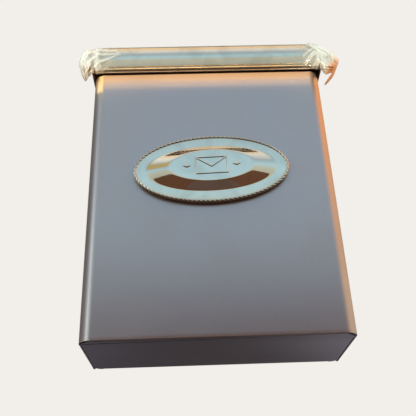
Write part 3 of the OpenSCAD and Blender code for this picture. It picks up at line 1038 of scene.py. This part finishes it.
@dataclass
class Film:
    """Clear sleeve over the moulding: close along the bar, crumpled near its ends, gathered past them."""

    film: bpy.types.Material
    bar: Moulding
    gap: float = 0.35
    seat: float = 0.06
    columns: int = 120
    middle_rows: int = 190
    end_rows: int = 84
    seed: int = 11
    waves: tuple[float, ...] = (24.0, 17.0, 12.0, 7.5)
    crease_width: float = 1.5
    fold_width: float = 1.5
    bar_crumple: tuple[float, float] = (0.03, 0.22)
    end_crumple: tuple[float, float] = (0.25, 2.1)
    bar_fold: float = 0.6
    end_fold: float = 1.1
    ends: tuple[FilmEnd, ...] = (
        FilmEnd(
            Side.LEFT,
            [
                (-11, 15.6), (-4, 15.0), (4, 12.6), (10, 10.3), (15.2, 4.6),
                (18.6, -6.4), (17, -16), (14, -24), (11.2, -30),
            ],
            [
                (-11, -15.9), (-5, -17.2), (0.5, -18.2), (2.6, -20.2), (4.6, -21.6),
                (6.6, -23.4), (8.2, -26.6), (9.4, -29.2), (10.4, -30.6),
            ],
            [(4.0, 4.2), (4.6, 5.4), (5.6, 5.8), (5.2, 4.6), (4.4, 3.0), (4, 1.0)],
            "husk",
            [
                (0, 8, -20, 7), (-20, 7, -24, 1), (-1, 0, -22, 2),
                (-5, -9, -23, 1), (4, 5, 12, -6), (2, -4, 9, -14),
            ],
        ),
        FilmEnd(
            Side.RIGHT,
            [
                (-9, 15.6), (-2, 15.2), (6, 9.6), (14, 2.2), (21, -5),
                (23.6, -10.6), (20, -20), (14.6, -31), (9.2, -38), (5.6, -41.6),
            ],
            [
                (-9, -15.9), (-1, -17), (3.4, -20.6), (5.6, -24.4), (9.4, -26.4),
                (13.2, -25.6), (13.4, -28), (9.6, -33), (6.6, -37.6), (4.8, -41.2),
            ],
            [(4.0, 4.2), (4.8, 5.6), (5.4, 6.2), (5.0, 5.0), (4.2, 2.6), (3.6, 1.6), (3.4, 0.8)],
            "copper",
            [
                (-9, 13, 9, -8), (-5, 13, 13, -5), (-14, -6, -6, 2),
                (-12, -11, -3, -2), (0, -12, 6, -20), (12, 2, 20, -8),
            ],
        ),
    )

    def _ring(self) -> np.ndarray:
        """Section of the sleeve on the bar, as depth and height: over the crowned face and back behind it.

        Returns:
            An array of shape (columns, 2).
        """
        edge_columns, back_columns = 8, 28
        half_h = self.bar.half_h + self.gap
        top = line((self.seat, half_h), (self.bar.edge_depth, half_h), edge_columns)
        count = self.columns - 2 * edge_columns - back_columns
        height = np.linspace(half_h, -half_h, count + 2)[1:-1]
        face = np.stack([self.bar.depth(height * self.bar.half_h / half_h) + self.gap, height], -1)
        back = line((self.seat, -half_h), (self.seat, half_h), back_columns + 2)[1:-1]
        return np.concatenate([top, face, top[::-1] * [1, -1], back])

    def _crumple(self, across: np.ndarray, along: np.ndarray) -> tuple[np.ndarray, np.ndarray]:
        """Creased relief: a sum of triangle waves in random directions, and how near the creases are.

        Args:
            across: first coordinate, in millimetres.
            along: second coordinate, in millimetres.

        Returns:
            The relief, from 0 to 1, and the crease mask.
        """
        draw = np.random.default_rng(self.seed)
        relief, crease = np.zeros_like(across), np.zeros_like(across)
        for wave in self.waves:
            angle, phase, bend = draw.uniform(0, math.pi), draw.uniform(0, 1), draw.uniform(0.4, 0.9)
            place = (across * math.cos(angle) + along * math.sin(angle)) / wave + phase
            place += bend * np.sin((along * math.cos(angle) - across * math.sin(angle)) / (1.7 * wave))
            swing = tent(place)
            relief += swing * wave
            apart = (1 - swing) * wave / self.crease_width
            crease = np.maximum(crease, np.exp(-(apart**2)) * draw.uniform(0.3, 0.8))
        return relief / sum(self.waves), crease

    def _bold(self, end: FilmEnd, past: np.ndarray, height: np.ndarray) -> np.ndarray:
        """How near each point is to a bold fold: exp(-(d / w)^2) for its distance d from the nearest one.

        Args:
            end: the end whose folds are meant.
            past: x past the moulding's end.
            height: z above the moulding's middle.

        Returns:
            Values from 0 to 1.
        """
        near = np.zeros(np.broadcast(past, height).shape)
        for x0, z0, x1, z1 in end.folds:
            run_x, run_z = x1 - x0, z1 - z0
            share = np.clip(((past - x0) * run_x + (height - z0) * run_z) / (run_x**2 + run_z**2), 0, 1)
            apart = np.hypot(past - x0 - share * run_x, height - z0 - share * run_z)
            near = np.maximum(near, np.exp(-((apart / self.fold_width) ** 2)))
        return near

    def _end_grid(self, end: FilmEnd) -> tuple[np.ndarray, dict[str, np.ndarray]]:
        """Rows of one end, from the bar to the tip.

        A row's ring lies between the upper and lower edge. It blends from the bar's section into a round one
        with pleats: radius times 1 + a sum of triangle waves round the ring, whose phases drift with the row.

        Args:
            end: the end's edges and depths.

        Returns:
            The grid of points and its masks.
        """
        t = np.linspace(0, 1, self.end_rows)
        upper, lower, depths = through(end.upper, t), through(end.lower, t), through(end.depths, t)
        ring = self._ring()
        turn = np.linspace(0, 2 * math.pi, self.columns, endpoint=False) - 0.35
        past = np.minimum(upper[:, 0], lower[:, 0])
        blend = smooth((past - 0.4) / 3.0)[:, None]
        draw = np.random.default_rng(self.seed + end.side.value)
        pleats = np.zeros((self.end_rows, self.columns))
        ridge = np.zeros_like(pleats)
        for count, depth in ((3, 0.18), (5, 0.26), (8, 0.16), (13, 0.07)):
            drift = draw.uniform(-1.6, 1.6) * t[:, None] + 0.25 * np.sin(9 * t + draw.uniform(0, 6))[:, None]
            swing = tent(turn / (2 * math.pi) * count + drift + draw.uniform(0, 1))
            pleats += depth * (swing - 0.6)
            ridge = np.maximum(ridge, smooth((swing - 0.8) / 0.2) * min(1.0, 4.5 * depth))
        swell = 1 + pleats * smooth((past[:, None] + 6) / 8)
        a = (1 - blend) * (ring[:, 1] / (self.bar.half_h + self.gap)) + blend * np.cos(turn) * swell
        on_bar = ring[:, 0]
        gathered = depths[:, :1] + depths[:, 1:] * np.sin(turn) * swell
        y = (1 - blend) * on_bar + blend * gathered
        middle, reach = (upper + lower) / 2, (upper - lower) / 2
        place = middle[:, None] + reach[:, None] * a[..., None]
        relief, crease = self._crumple(place[..., 0] * end.side.value + 200, place[..., 1])
        free = smooth((ring[:, 0] - 0.5) / 2)
        bold = self._bold(end, place[..., 0], place[..., 1])
        flat_crumple, more_crumple = self.end_crumple
        strength = flat_crumple + more_crumple * smooth((past[:, None] + 11) / 8)
        y = y + strength * relief * free * (1 - blend)
        y = y + self.end_fold * bold * free
        y = np.maximum(y, self.seat)
        x = end.side.value * (self.bar.extent.high[0] + place[..., 0])
        grid = np.stack([x, self.bar.lip_y - y, self.bar.mid_z + place[..., 1]], -1)
        pleat_lines = np.maximum(ridge, crease * 0.5)
        masks = {
            "gather": 0.25 + 0.75 * smooth((place[..., 0] + 12) / 14),
            "crease": np.maximum(crease * (1 - blend) + blend * pleat_lines, bold),
            # Painted warm light on the lower side of the tail, towards its tip.
            end.tone: smooth((t[:, None] - 0.3) / 0.25) * smooth((-place[..., 1] - 8) / 12),
        }
        return grid, masks

    def _middle_grid(self) -> tuple[np.ndarray, dict[str, np.ndarray]]:
        """Rows along the bar: its section with long shallow ripples, and creases that grow towards its ends.

        Returns:
            The grid of points and its masks.
        """
        left, right = (end.side.value * (self.bar.extent.high[0] + end.upper[0][0]) for end in self.ends)
        x = np.linspace(left, right, self.middle_rows)[1:-1]
        ring = self._ring()
        height = np.broadcast_to(ring[:, 1], (len(x), self.columns))
        along = np.broadcast_to(x[:, None], height.shape)
        relief, crease = self._crumple(np.abs(along) - self.bar.extent.high[0] + 200, height)
        nearness = smooth((np.abs(x) - 84) / 26)[:, None]
        ripple = 0.5 + 0.5 * np.sin(height / 3.1 + 0.8 * np.sin(along / 31) + along / 90)
        free = smooth((ring[:, 0] - 0.5) / 2)
        past = np.abs(along) - self.bar.extent.high[0]
        left_bold, right_bold = (self._bold(end, past, height) for end in self.ends)
        bold = np.where(along < 0, left_bold, right_bold)
        flat_crumple, more_crumple = self.bar_crumple
        strength = flat_crumple + more_crumple * nearness
        y = ring[:, 0] + (0.08 * ripple + strength * relief + self.bar_fold * bold) * free
        grid = np.stack([along, self.bar.lip_y - y, self.bar.mid_z + height], -1)
        return grid, {"gather": 0.25 * nearness**2, "crease": np.maximum(crease * nearness**2 * 0.8, bold)}

    def shell(self) -> Shell:
        """The whole sleeve, from the left tip to the right tip.

        Returns:
            The shell.
        """
        left, right = (self._end_grid(end) for end in self.ends)
        middle = self._middle_grid()
        grid = np.concatenate([left[0][::-1], middle[0], right[0]])
        names = ("gather", "crease", "copper", "husk")
        rows = [
            [np.broadcast_to(part[1].get(name, 0.0), part[0].shape[:2]) for part in (left, middle, right)]
            for name in names
        ]
        masks = {name: np.concatenate([a[::-1], b, c]) for name, (a, b, c) in zip(names, rows)}
        return loft(grid, masks=masks)

    def build(self) -> None:
        """Makes the film and puts it in place of its node."""
        piece = make_piece("film_sleeve", [self.shell()], self.film, sharp=55)
        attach(piece, "lid")
        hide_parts("protective_film")
        log.info("film_sleeve: %d faces", len(piece.data.polygons))


# ---------------------------------------------------------------- plaque


@dataclass
class Plaque:
    """Oval casting: skirt, rope rim, flat band, smooth slope, and a flat table with an envelope in relief."""

    brass: bpy.types.Material
    extent: Extent = field(default_factory=lambda: Extent.of("plaque"))
    size: tuple[float, float] = (151.0, 75.0)
    tilt: float = 2.0
    seat_y: float = -96.0
    skirt: float = 4.0
    band: float = 4.5
    foot: tuple[float, float] = (127.0, 50.0)
    table: tuple[float, float] = (82.0, 35.0)
    rise: float = 6.0
    rope: float = 1.55
    strands: int = 84
    emblem: tuple[float, float] = (30.0, 18.0)
    bar: float = 1.5
    lozenge: tuple[float, float] = (4.0, 2.0)
    lozenge_gap: float = 9.0
    relief: float = 0.8
    around: int = 256

    def _place(self, drawing: np.ndarray) -> np.ndarray:
        """Moves drawing points to the front face, turned by the tilt about the plaque's centre.

        Args:
            drawing: points as (across, up, out).

        Returns:
            The points as (x, y, z).
        """
        centre = (self.extent.low + self.extent.high) / 2
        angle = math.radians(self.tilt)
        across, up, out = drawing[..., 0], drawing[..., 1], drawing[..., 2]
        x = centre[0] + across * math.cos(angle) - up * math.sin(angle)
        z = centre[2] + across * math.sin(angle) + up * math.cos(angle)
        return np.stack([x, self.seat_y - out, z], -1)

    def _plate(self) -> Shell:
        """Skirt, band, slope and table: rings between ovals that share one angle, each at its height.

        On the slope the share s runs from the foot to the table, and the height is rise times a ramp from 0
        to 1 whose two ends are rounded: (log(1 + e^(k s)) - log(1 + e^(k (s - 1)))) / k.

        Returns:
            The shell.
        """
        spans = ((-0.16, 0.2, 14), (0.24, 0.78, 10), (0.82, 1.14, 14))
        s = np.concatenate([np.linspace(*span) for span in spans])
        k = 26.0
        ramp = (np.logaddexp(0, k * s) - np.logaddexp(0, k * (s - 1))) / k
        w, h = self.size
        outer = np.array([[w, h]] * 6) - np.array([0, 0, 0.5, 2, 3.4, 4.6])[:, None]
        outer_z = np.array([0.0, self.skirt - 0.6, self.skirt - 0.1, self.skirt, self.band - 0.06, self.band])
        slope = np.array(self.foot) + (np.array(self.table) - np.array(self.foot)) * s[:, None]
        inner = slope[-1] * np.array([0.8, 0.5, 0.25, 0.06])[:, None]
        ovals = np.concatenate([outer, slope, inner])
        table_z = np.full(len(inner), self.band + self.rise)
        heights = np.concatenate([outer_z, self.band + self.rise * ramp, table_z])
        angle = np.linspace(0, 2 * math.pi, self.around, endpoint=False)
        grid = np.empty((len(ovals), self.around, 3))
        grid[..., 0] = ovals[:, :1] / 2 * np.cos(angle)
        grid[..., 1] = ovals[:, 1:] / 2 * np.sin(angle)
        grid[..., 2] = heights[:, None]
        # Painted shade: the skirt and the edge of the band beside the rope are darkened.
        recess = np.zeros(len(ovals))
        recess[:2] = 0.8
        recess[3:5] = 0.7
        return loft(self._place(grid), masks={"recess": recess[:, None]})

    def _rope(self) -> Shell:
        """Rope rim: a tube along the oval whose radius has three rounded lobes that wind round it.

        The radius is r (0.68 + 0.32 |sin(p / 2)|^0.8), where p is three times the angle round the tube plus
        one full turn for each strand along the oval.

        Returns:
            The shell.
        """
        per_strand, round_tube = 12, 15
        count = self.strands * per_strand
        fine = np.linspace(0, 2 * math.pi, 4001)
        a, b = self.size[0] / 2 - self.rope, self.size[1] / 2 - self.rope
        steps = np.hypot(a * np.diff(np.cos(fine)), b * np.diff(np.sin(fine)))
        length = np.concatenate([[0], np.cumsum(steps)])
        share = np.arange(count) / count
        angle = np.interp(share * length[-1], length, fine)[:, None]
        away = np.stack([b * np.cos(angle), a * np.sin(angle)], -1)
        away /= np.linalg.norm(away, axis=-1, keepdims=True)
        turn = np.linspace(0, 2 * math.pi, round_tube, endpoint=False)
        lobe = np.abs(np.sin((3 * turn + 2 * math.pi * self.strands * share[:, None]) / 2)) ** 0.8
        radius = self.rope * (0.68 + 0.32 * lobe)
        grid = np.empty((count, round_tube, 3))
        centre = np.stack([a * np.cos(angle), b * np.sin(angle)], -1)
        grid[..., :2] = centre + away * (radius * np.cos(turn))[..., None]
        grid[..., 2] = self.skirt + 0.1 + radius * np.sin(turn)
        # Painted shade in the valleys between the rope's strands.
        return loft(self._place(grid), closed_rows=True, masks={"recess": np.clip(1.1 - lobe * 1.6, 0, 1)})

    def _emblem_bar(self, a: tuple[float, float], b: tuple[float, float]) -> Shell:
        """Raised bar from a to b on the table, with round ends and steep sides.

        Half the width goes as sqrt(cos v) and the height as sqrt(sin v), for an angle v round the section.

        Args:
            a: one end, as (across, up).
            b: the other end.

        Returns:
            The shell.
        """
        start, stop = np.array(a), np.array(b)
        run = stop - start
        run_length = float(np.linalg.norm(run))
        ahead = run / run_length
        half = self.bar / 2
        turn = np.linspace(0, math.pi, 5)
        stations = np.concatenate([-half * np.cos(turn / 2), run_length + half * np.sin(turn / 2)])
        beyond = np.maximum(np.maximum(-stations, stations - run_length), 0) / half
        scale = np.sqrt(np.clip(1 - beyond**2, 0.02, 1))[:, None]
        round_top = arc(0, 0, 1, 0, 180, 13)
        steep = np.sign(round_top) * np.sqrt(np.abs(round_top))
        section = np.concatenate([steep, [[-1.15, -0.3], [1.15, -0.3]]])
        across = section[:, 0] * half * scale
        up = np.array([-ahead[1], ahead[0]])
        grid = np.empty((len(stations), len(section), 3))
        grid[..., :2] = start + stations[:, None, None] * ahead + across[..., None] * up
        grid[..., 2] = self.band + self.rise + section[:, 1] * self.relief * scale
        # Painted shade along the bar's sides, which draws dark outlines round the envelope.
        return loft(self._place(grid), masks={"recess": 0.85 * (section[:, 1] < 0.75)[None]})

    def _lozenge(self, side: Side) -> Shell:
        """Raised lozenge with four facets, bounded by |x| / a + |y| / b = 1, where a and b are half its size.

        Args:
            side: the side of the envelope that it stands on.

        Returns:
            The shell.
        """
        shrink = np.array([1.0, 1.0, 0.92, 0.5, 0.04])
        out = np.array([-0.3, 0.35, 0.5, 0.8, 1.0]) * self.relief
        angle = np.linspace(0, 2 * math.pi, 32, endpoint=False)
        half_wide, half_high = self.lozenge
        reach = 1 / (np.abs(np.cos(angle)) / half_wide + np.abs(np.sin(angle)) / half_high)
        grid = np.empty((len(shrink), len(angle), 3))
        centre = side.value * (self.emblem[0] / 2 + self.lozenge_gap)
        grid[..., 0] = centre + shrink[:, None] * reach * np.cos(angle)
        grid[..., 1] = shrink[:, None] * reach * np.sin(angle)
        grid[..., 2] = self.band + self.rise + out[:, None]
        # Painted shade round the lozenge's foot.
        return loft(self._place(grid), masks={"recess": np.array([0.85, 0.85, 0.3, 0, 0])[:, None]})

    def build(self) -> None:
        """Makes the plaque and puts it in place of its node."""
        w, h = self.emblem
        envelope = [(-w / 2, h / 2), (w / 2, h / 2), (w / 2, -h / 2), (-w / 2, -h / 2)]
        flap = (0.0, -h * 0.08)
        bars = [(envelope[i], envelope[(i + 1) % 4]) for i in range(4)]
        bars += [(envelope[i], flap) for i in range(2)]
        shells = [self._plate(), self._rope(), *(self._emblem_bar(*ends) for ends in bars)]
        shells += [self._lozenge(side) for side in Side]
        piece = make_piece("oval_plaque", shells, self.brass)
        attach(piece, "body")
        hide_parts("plaque")
        log.info("oval_plaque: %d faces", len(piece.data.polygons))


# ---------------------------------------------------------------- studio


@dataclass(frozen=True)
class SkyBand:
    """Light from far away at one elevation, in degrees, in front of the object and behind it."""

    elevation: float
    front: Colour
    back: Colour


@dataclass(frozen=True)
class SidePanel:
    """A soft panel, far away: its middle and half width in azimuth, and its span in elevation, in degrees."""

    azimuth: float
    half_width: float
    low: float
    high: float
    edge: float
    light: Colour


@dataclass(frozen=True)
class Lamp:
    """A soft box near the object: place, target and size in metres, and its spread in degrees."""

    name: str
    place: tuple[float, float, float]
    target: tuple[float, float, float]
    size: tuple[float, float]
    colour: Colour
    watts: float
    spread: float = 180.0


@dataclass(frozen=True)
class Flag:
    """An upright board near the object that the camera doesn't see, in metres: low corner and high corner."""

    name: str
    low: tuple[float, float, float]
    high: tuple[float, float, float]
    colour: Colour


@dataclass
class Studio:
    """Pale floor and backdrop, light from far away, near lamps and boards, and the camera."""

    backdrop: Colour = (0.888, 0.863, 0.823)
    floor: Colour = (0.82, 0.80, 0.77)
    bands: tuple[SkyBand, ...] = (
        SkyBand(-90, (0.05, 0.035, 0.03), (0.05, 0.035, 0.03)),
        SkyBand(-35, (0.155, 0.105, 0.10), (0.05, 0.045, 0.05)),
        SkyBand(-18, (0.40, 0.36, 0.30), (0.06, 0.055, 0.065)),
        SkyBand(-4, (0.55, 0.60, 0.62), (0.12, 0.12, 0.14)),
        SkyBand(14, (0.64, 0.69, 0.64), (0.36, 0.37, 0.40)),
        SkyBand(30, (0.55, 0.86, 1.16), (0.45, 0.46, 0.50)),
        SkyBand(46, (0.44, 0.60, 0.78), (0.55, 0.55, 0.56)),
        SkyBand(66, (1.00, 1.02, 1.10), (0.90, 0.76, 0.60)),
        SkyBand(80, (1.15, 0.82, 0.56), (1.08, 0.86, 0.62)),
    )
    panels: tuple[SidePanel, ...] = (
        SidePanel(94, 50, 6, 24, 5, (1.25, 1.00, 0.70)),
        SidePanel(94, 50, 24, 34, 5, (1.60, 0.88, 0.42)),
        SidePanel(103, 42, 34, 58, 6, (2.60, 0.84, 0.10)),
        SidePanel(-115, 45, -12, 60, 10, (0.24, 0.22, 0.21)),
        SidePanel(-36, 13, 34, 52, 6, (0.60, 0.50, 0.26)),
        SidePanel(-48, 9, 2, 24, 5, (3.40, 3.70, 3.60)),
        SidePanel(146, 20, -52, -12, 7, (0.56, 0.58, 0.68)),
        SidePanel(-152, 18, -52, -12, 7, (0.20, 0.21, 0.28)),
    )
    lamps: tuple[Lamp, ...] = (
        Lamp(
            "lip_glow", (0.0, -0.0996, 0.1431), (0.0, -0.0241, 0.0775),
            (0.242, 0.0084), (1.0, 0.60, 0.29), 0.0030, 80,
        ),
        Lamp(
            "face_glow", (0.0, -0.1046, 0.1374), (0.0, -0.0291, 0.0718),
            (0.242, 0.007), (1.0, 0.60, 0.27), 0.0012, 80,
        ),
        Lamp(
            "hem_glow", (0.0, -0.132, 0.116), (0.0, -0.1035, 0.1415),
            (0.25, 0.01), (1.0, 0.60, 0.24), 0.0058, 50,
        ),
        Lamp(
            "corner_glow", (-0.119, -0.0968, 0.1385), (-0.108, -0.084, 0.1385),
            (0.014, 0.024), (1.0, 0.72, 0.28), 0.0025,
        ),
        Lamp(
            "film_left", (-0.30, -0.34, 0.12), (-0.114, -0.107, 0.156),
            (0.02, 0.02), (1.0, 1.0, 0.88), 0.0088, 21,
        ),
        Lamp(
            "film_right", (0.20, -0.45, 0.06), (0.119, -0.107, 0.154),
            (0.02, 0.02), (0.97, 0.95, 0.78), 0.0068, 18,
        ),
    )
    flags: tuple[Flag, ...] = (
        Flag("front_flag", (-0.42, -0.5, -0.32), (0.6, -0.5, 0.036), (0.38, 0.22, 0.155)),
    )
    eye: tuple[float, float, float] = (-0.0206, -0.6027, -0.2963)
    pitch: float = 28.59
    yaw: float = -1.77
    roll: float = -2.34
    lens: float = 53.12
    floor_z: float = -0.9
    floor_half: float = 2.5

    def _world(self) -> None:
        """Light from far away: one ramp in front and one behind, dim below, with the panels over them."""
        world = bpy.data.worlds.new("studio")
        bpy.context.scene.world = world
        world.use_nodes = True
        g = Graph(world.node_tree)
        world.node_tree.nodes.clear()
        way = g.add("SeparateXYZ", in0=g.add("TexCoord").outputs["Generated"])
        x, y, z = way.outputs
        degrees = 180 / math.pi
        elevation = g.math("MULTIPLY", g.math("ARCSINE", z), degrees)
        azimuth = g.math("MULTIPLY", g.math("ARCTAN2", x, g.math("MULTIPLY", y, -1.0)), degrees)
        share = g.math("MULTIPLY_ADD", elevation, 1 / 180, 0.5)
        front = self._ramp(g, share, [band.front for band in self.bands])
        back = self._ramp(g, share, [band.back for band in self.bands])
        total = g.mix(g.between(y, -0.25, 0.25), front, back)
        for panel in self.panels:
            turn = g.math("WRAP", g.math("SUBTRACT", azimuth, panel.azimuth), 180.0, -180.0)
            edge = panel.edge
            beside = g.between(g.math("ABSOLUTE", turn), panel.half_width - edge, panel.half_width + edge)
            above = g.between(elevation, panel.low - edge, panel.low + edge)
            over = g.between(elevation, panel.high - edge, panel.high + edge)
            height = g.math("MULTIPLY", above, g.math("SUBTRACT", 1.0, over))
            patch = g.math("MULTIPLY", g.math("SUBTRACT", 1.0, beside), height)
            total = g.mix(patch, total, rgba(panel.light))
        seen = g.add("LightPath").outputs["Is Camera Ray"]
        glow = g.add("Background", Color=g.mix(seen, total, rgba(self.backdrop)))
        g.add("OutputWorld", Surface=glow.outputs[0])

    def _ramp(
        self, g: Graph, share: bpy.types.NodeSocket, colours: list[Colour]
    ) -> bpy.types.NodeSocket:
        """Colour ramp over elevation, with one stop for each band.

        Args:
            g: the graph to add it to.
            share: the elevation, from 0 straight down to 1 straight up.
            colours: one colour for each band.

        Returns:
            The ramp's colour.
        """
        ramp = g.add("ValToRGB", Fac=share)
        stops = ramp.color_ramp.elements
        for band in self.bands[2:]:
            stops.new((band.elevation + 90) / 180)
        for stop, band, colour in zip(stops, self.bands, colours):
            stop.position = (band.elevation + 90) / 180
            stop.color = rgba(colour)
        return ramp.outputs[0]

    @staticmethod
    def _board(name: str, corners: list[tuple[float, float, float]], colour: Colour) -> bpy.types.Object:
        """A flat matt board for the stage.

        Args:
            name: its name.
            corners: four corners, in metres.
            colour: its colour.

        Returns:
            The board.
        """
        mesh = bpy.data.meshes.new(name)
        mesh.from_pydata(corners, [], [(0, 1, 2, 3)])
        material, _, shader = new_material(name)
        shader.inputs["Base Color"].default_value = rgba(colour)
        shader.inputs["Roughness"].default_value = 0.9
        mesh.materials.append(material)
        board = bpy.data.objects.new(name, mesh)
        bpy.context.scene.collection.objects.link(board)
        return board

    def _boards(self) -> None:
        """A pale floor that throws no light on the object, and the flags, which the camera doesn't see."""
        far, z = self.floor_half, self.floor_z
        around = [(-far, -far, z), (far, -far, z), (far, far, z), (-far, far, z)]
        floor = self._board("studio_floor", around, self.floor)
        floor.visible_glossy = floor.visible_diffuse = False
        for flag in self.flags:
            (x0, y0, z0), (x1, y1, z1) = flag.low, flag.high
            upright = [(x0, y0, z0), (x1, y1, z0), (x1, y1, z1), (x0, y0, z1)]
            self._board(flag.name, upright, flag.colour).visible_camera = False

    def _lamp(self, lamp: Lamp) -> None:
        """One rectangular area light, turned to its target and hidden from the camera.

        Args:
            lamp: the lamp to make.
        """
        light = bpy.data.lights.new(lamp.name, "AREA")
        light.shape = "RECTANGLE"
        light.size, light.size_y = lamp.size
        light.color, light.energy = lamp.colour, lamp.watts
        light.spread = math.radians(lamp.spread)
        holder = bpy.data.objects.new(lamp.name, light)
        bpy.context.scene.collection.objects.link(holder)
        holder.location = lamp.place
        holder.rotation_mode = "QUATERNION"
        aim = Vector(lamp.target) - Vector(lamp.place)
        holder.rotation_quaternion = aim.to_track_quat("-Z", "Y")
        holder.visible_camera = False

    def _camera(self) -> None:
        """The camera: below the box, a little to the left of its middle, looking up at it."""
        data = bpy.data.cameras.new("camera")
        data.lens, data.sensor_width = self.lens, 36.0
        data.clip_start, data.clip_end = 0.01, 50.0
        camera = bpy.data.objects.new("camera", data)
        turn = Matrix.Rotation(math.radians(self.yaw), 3, "Z")
        lift = Matrix.Rotation(math.radians(90 + self.pitch), 3, "X")
        twist = Matrix.Rotation(math.radians(self.roll), 3, "Z")
        camera.matrix_world = Matrix.Translation(self.eye) @ (turn @ lift @ twist).to_4x4()
        bpy.context.scene.collection.objects.link(camera)
        bpy.context.scene.camera = camera

    def build(self) -> None:
        """Sets the stage."""
        self._world()
        self._boards()
        for lamp in self.lamps:
            self._lamp(lamp)
        self._camera()
        bpy.context.scene.view_settings.view_transform = "Standard"
        log.info("studio: %d lamps, %d panels", len(self.lamps), len(self.panels))


def dress_nodes(finishes: dict[str, bpy.types.Material]) -> None:
    """Gives each node that stays in view its finish, by its material slot in the record.

    Args:
        finishes: material for each slot name.
    """
    for part in frame["record"]["subparts"]:
        node = frame["nodes"][part["node"]]
        if node.hide_render:
            continue
        for slot in node.material_slots:
            slot.link = "OBJECT"
            slot.material = finishes[part["material_slot"]]
        log.info("%s: kept, %s", node.name, part["material_slot"])


def corners(box: tuple[Vector, Vector]) -> list[list[float]]:
    """A box as two plain lists of numbers."""
    return [list(corner) for corner in box]


def main() -> None:
    """Builds the finishes, the pieces and the studio."""
    logging.basicConfig(level=logging.INFO, format="%(message)s")
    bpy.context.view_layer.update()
    effects = Effects()
    finishes = {
        "bronze_enamel": EnamelFinish().build(effects),
        "polished_brass": BrassFinish().build(effects),
        "zinc_plate": PlatedFinish("zinc_plate", (0.62, 0.63, 0.64), 0.3).build(effects),
        "spring_steel": PlatedFinish("spring_steel", (0.36, 0.36, 0.37), 0.4).build(effects),
        "clear_film": FilmFinish().build(effects),
    }
    Studio().build()
    Body(finishes["bronze_enamel"]).build()
    Lid(finishes["bronze_enamel"]).build()
    bar = Moulding(finishes["polished_brass"])
    bar.build()
    Film(finishes["clear_film"], bar).build()
    Plaque(finishes["polished_brass"]).build()
    dress_nodes(finishes)


if __name__ == "__main__":
    main()
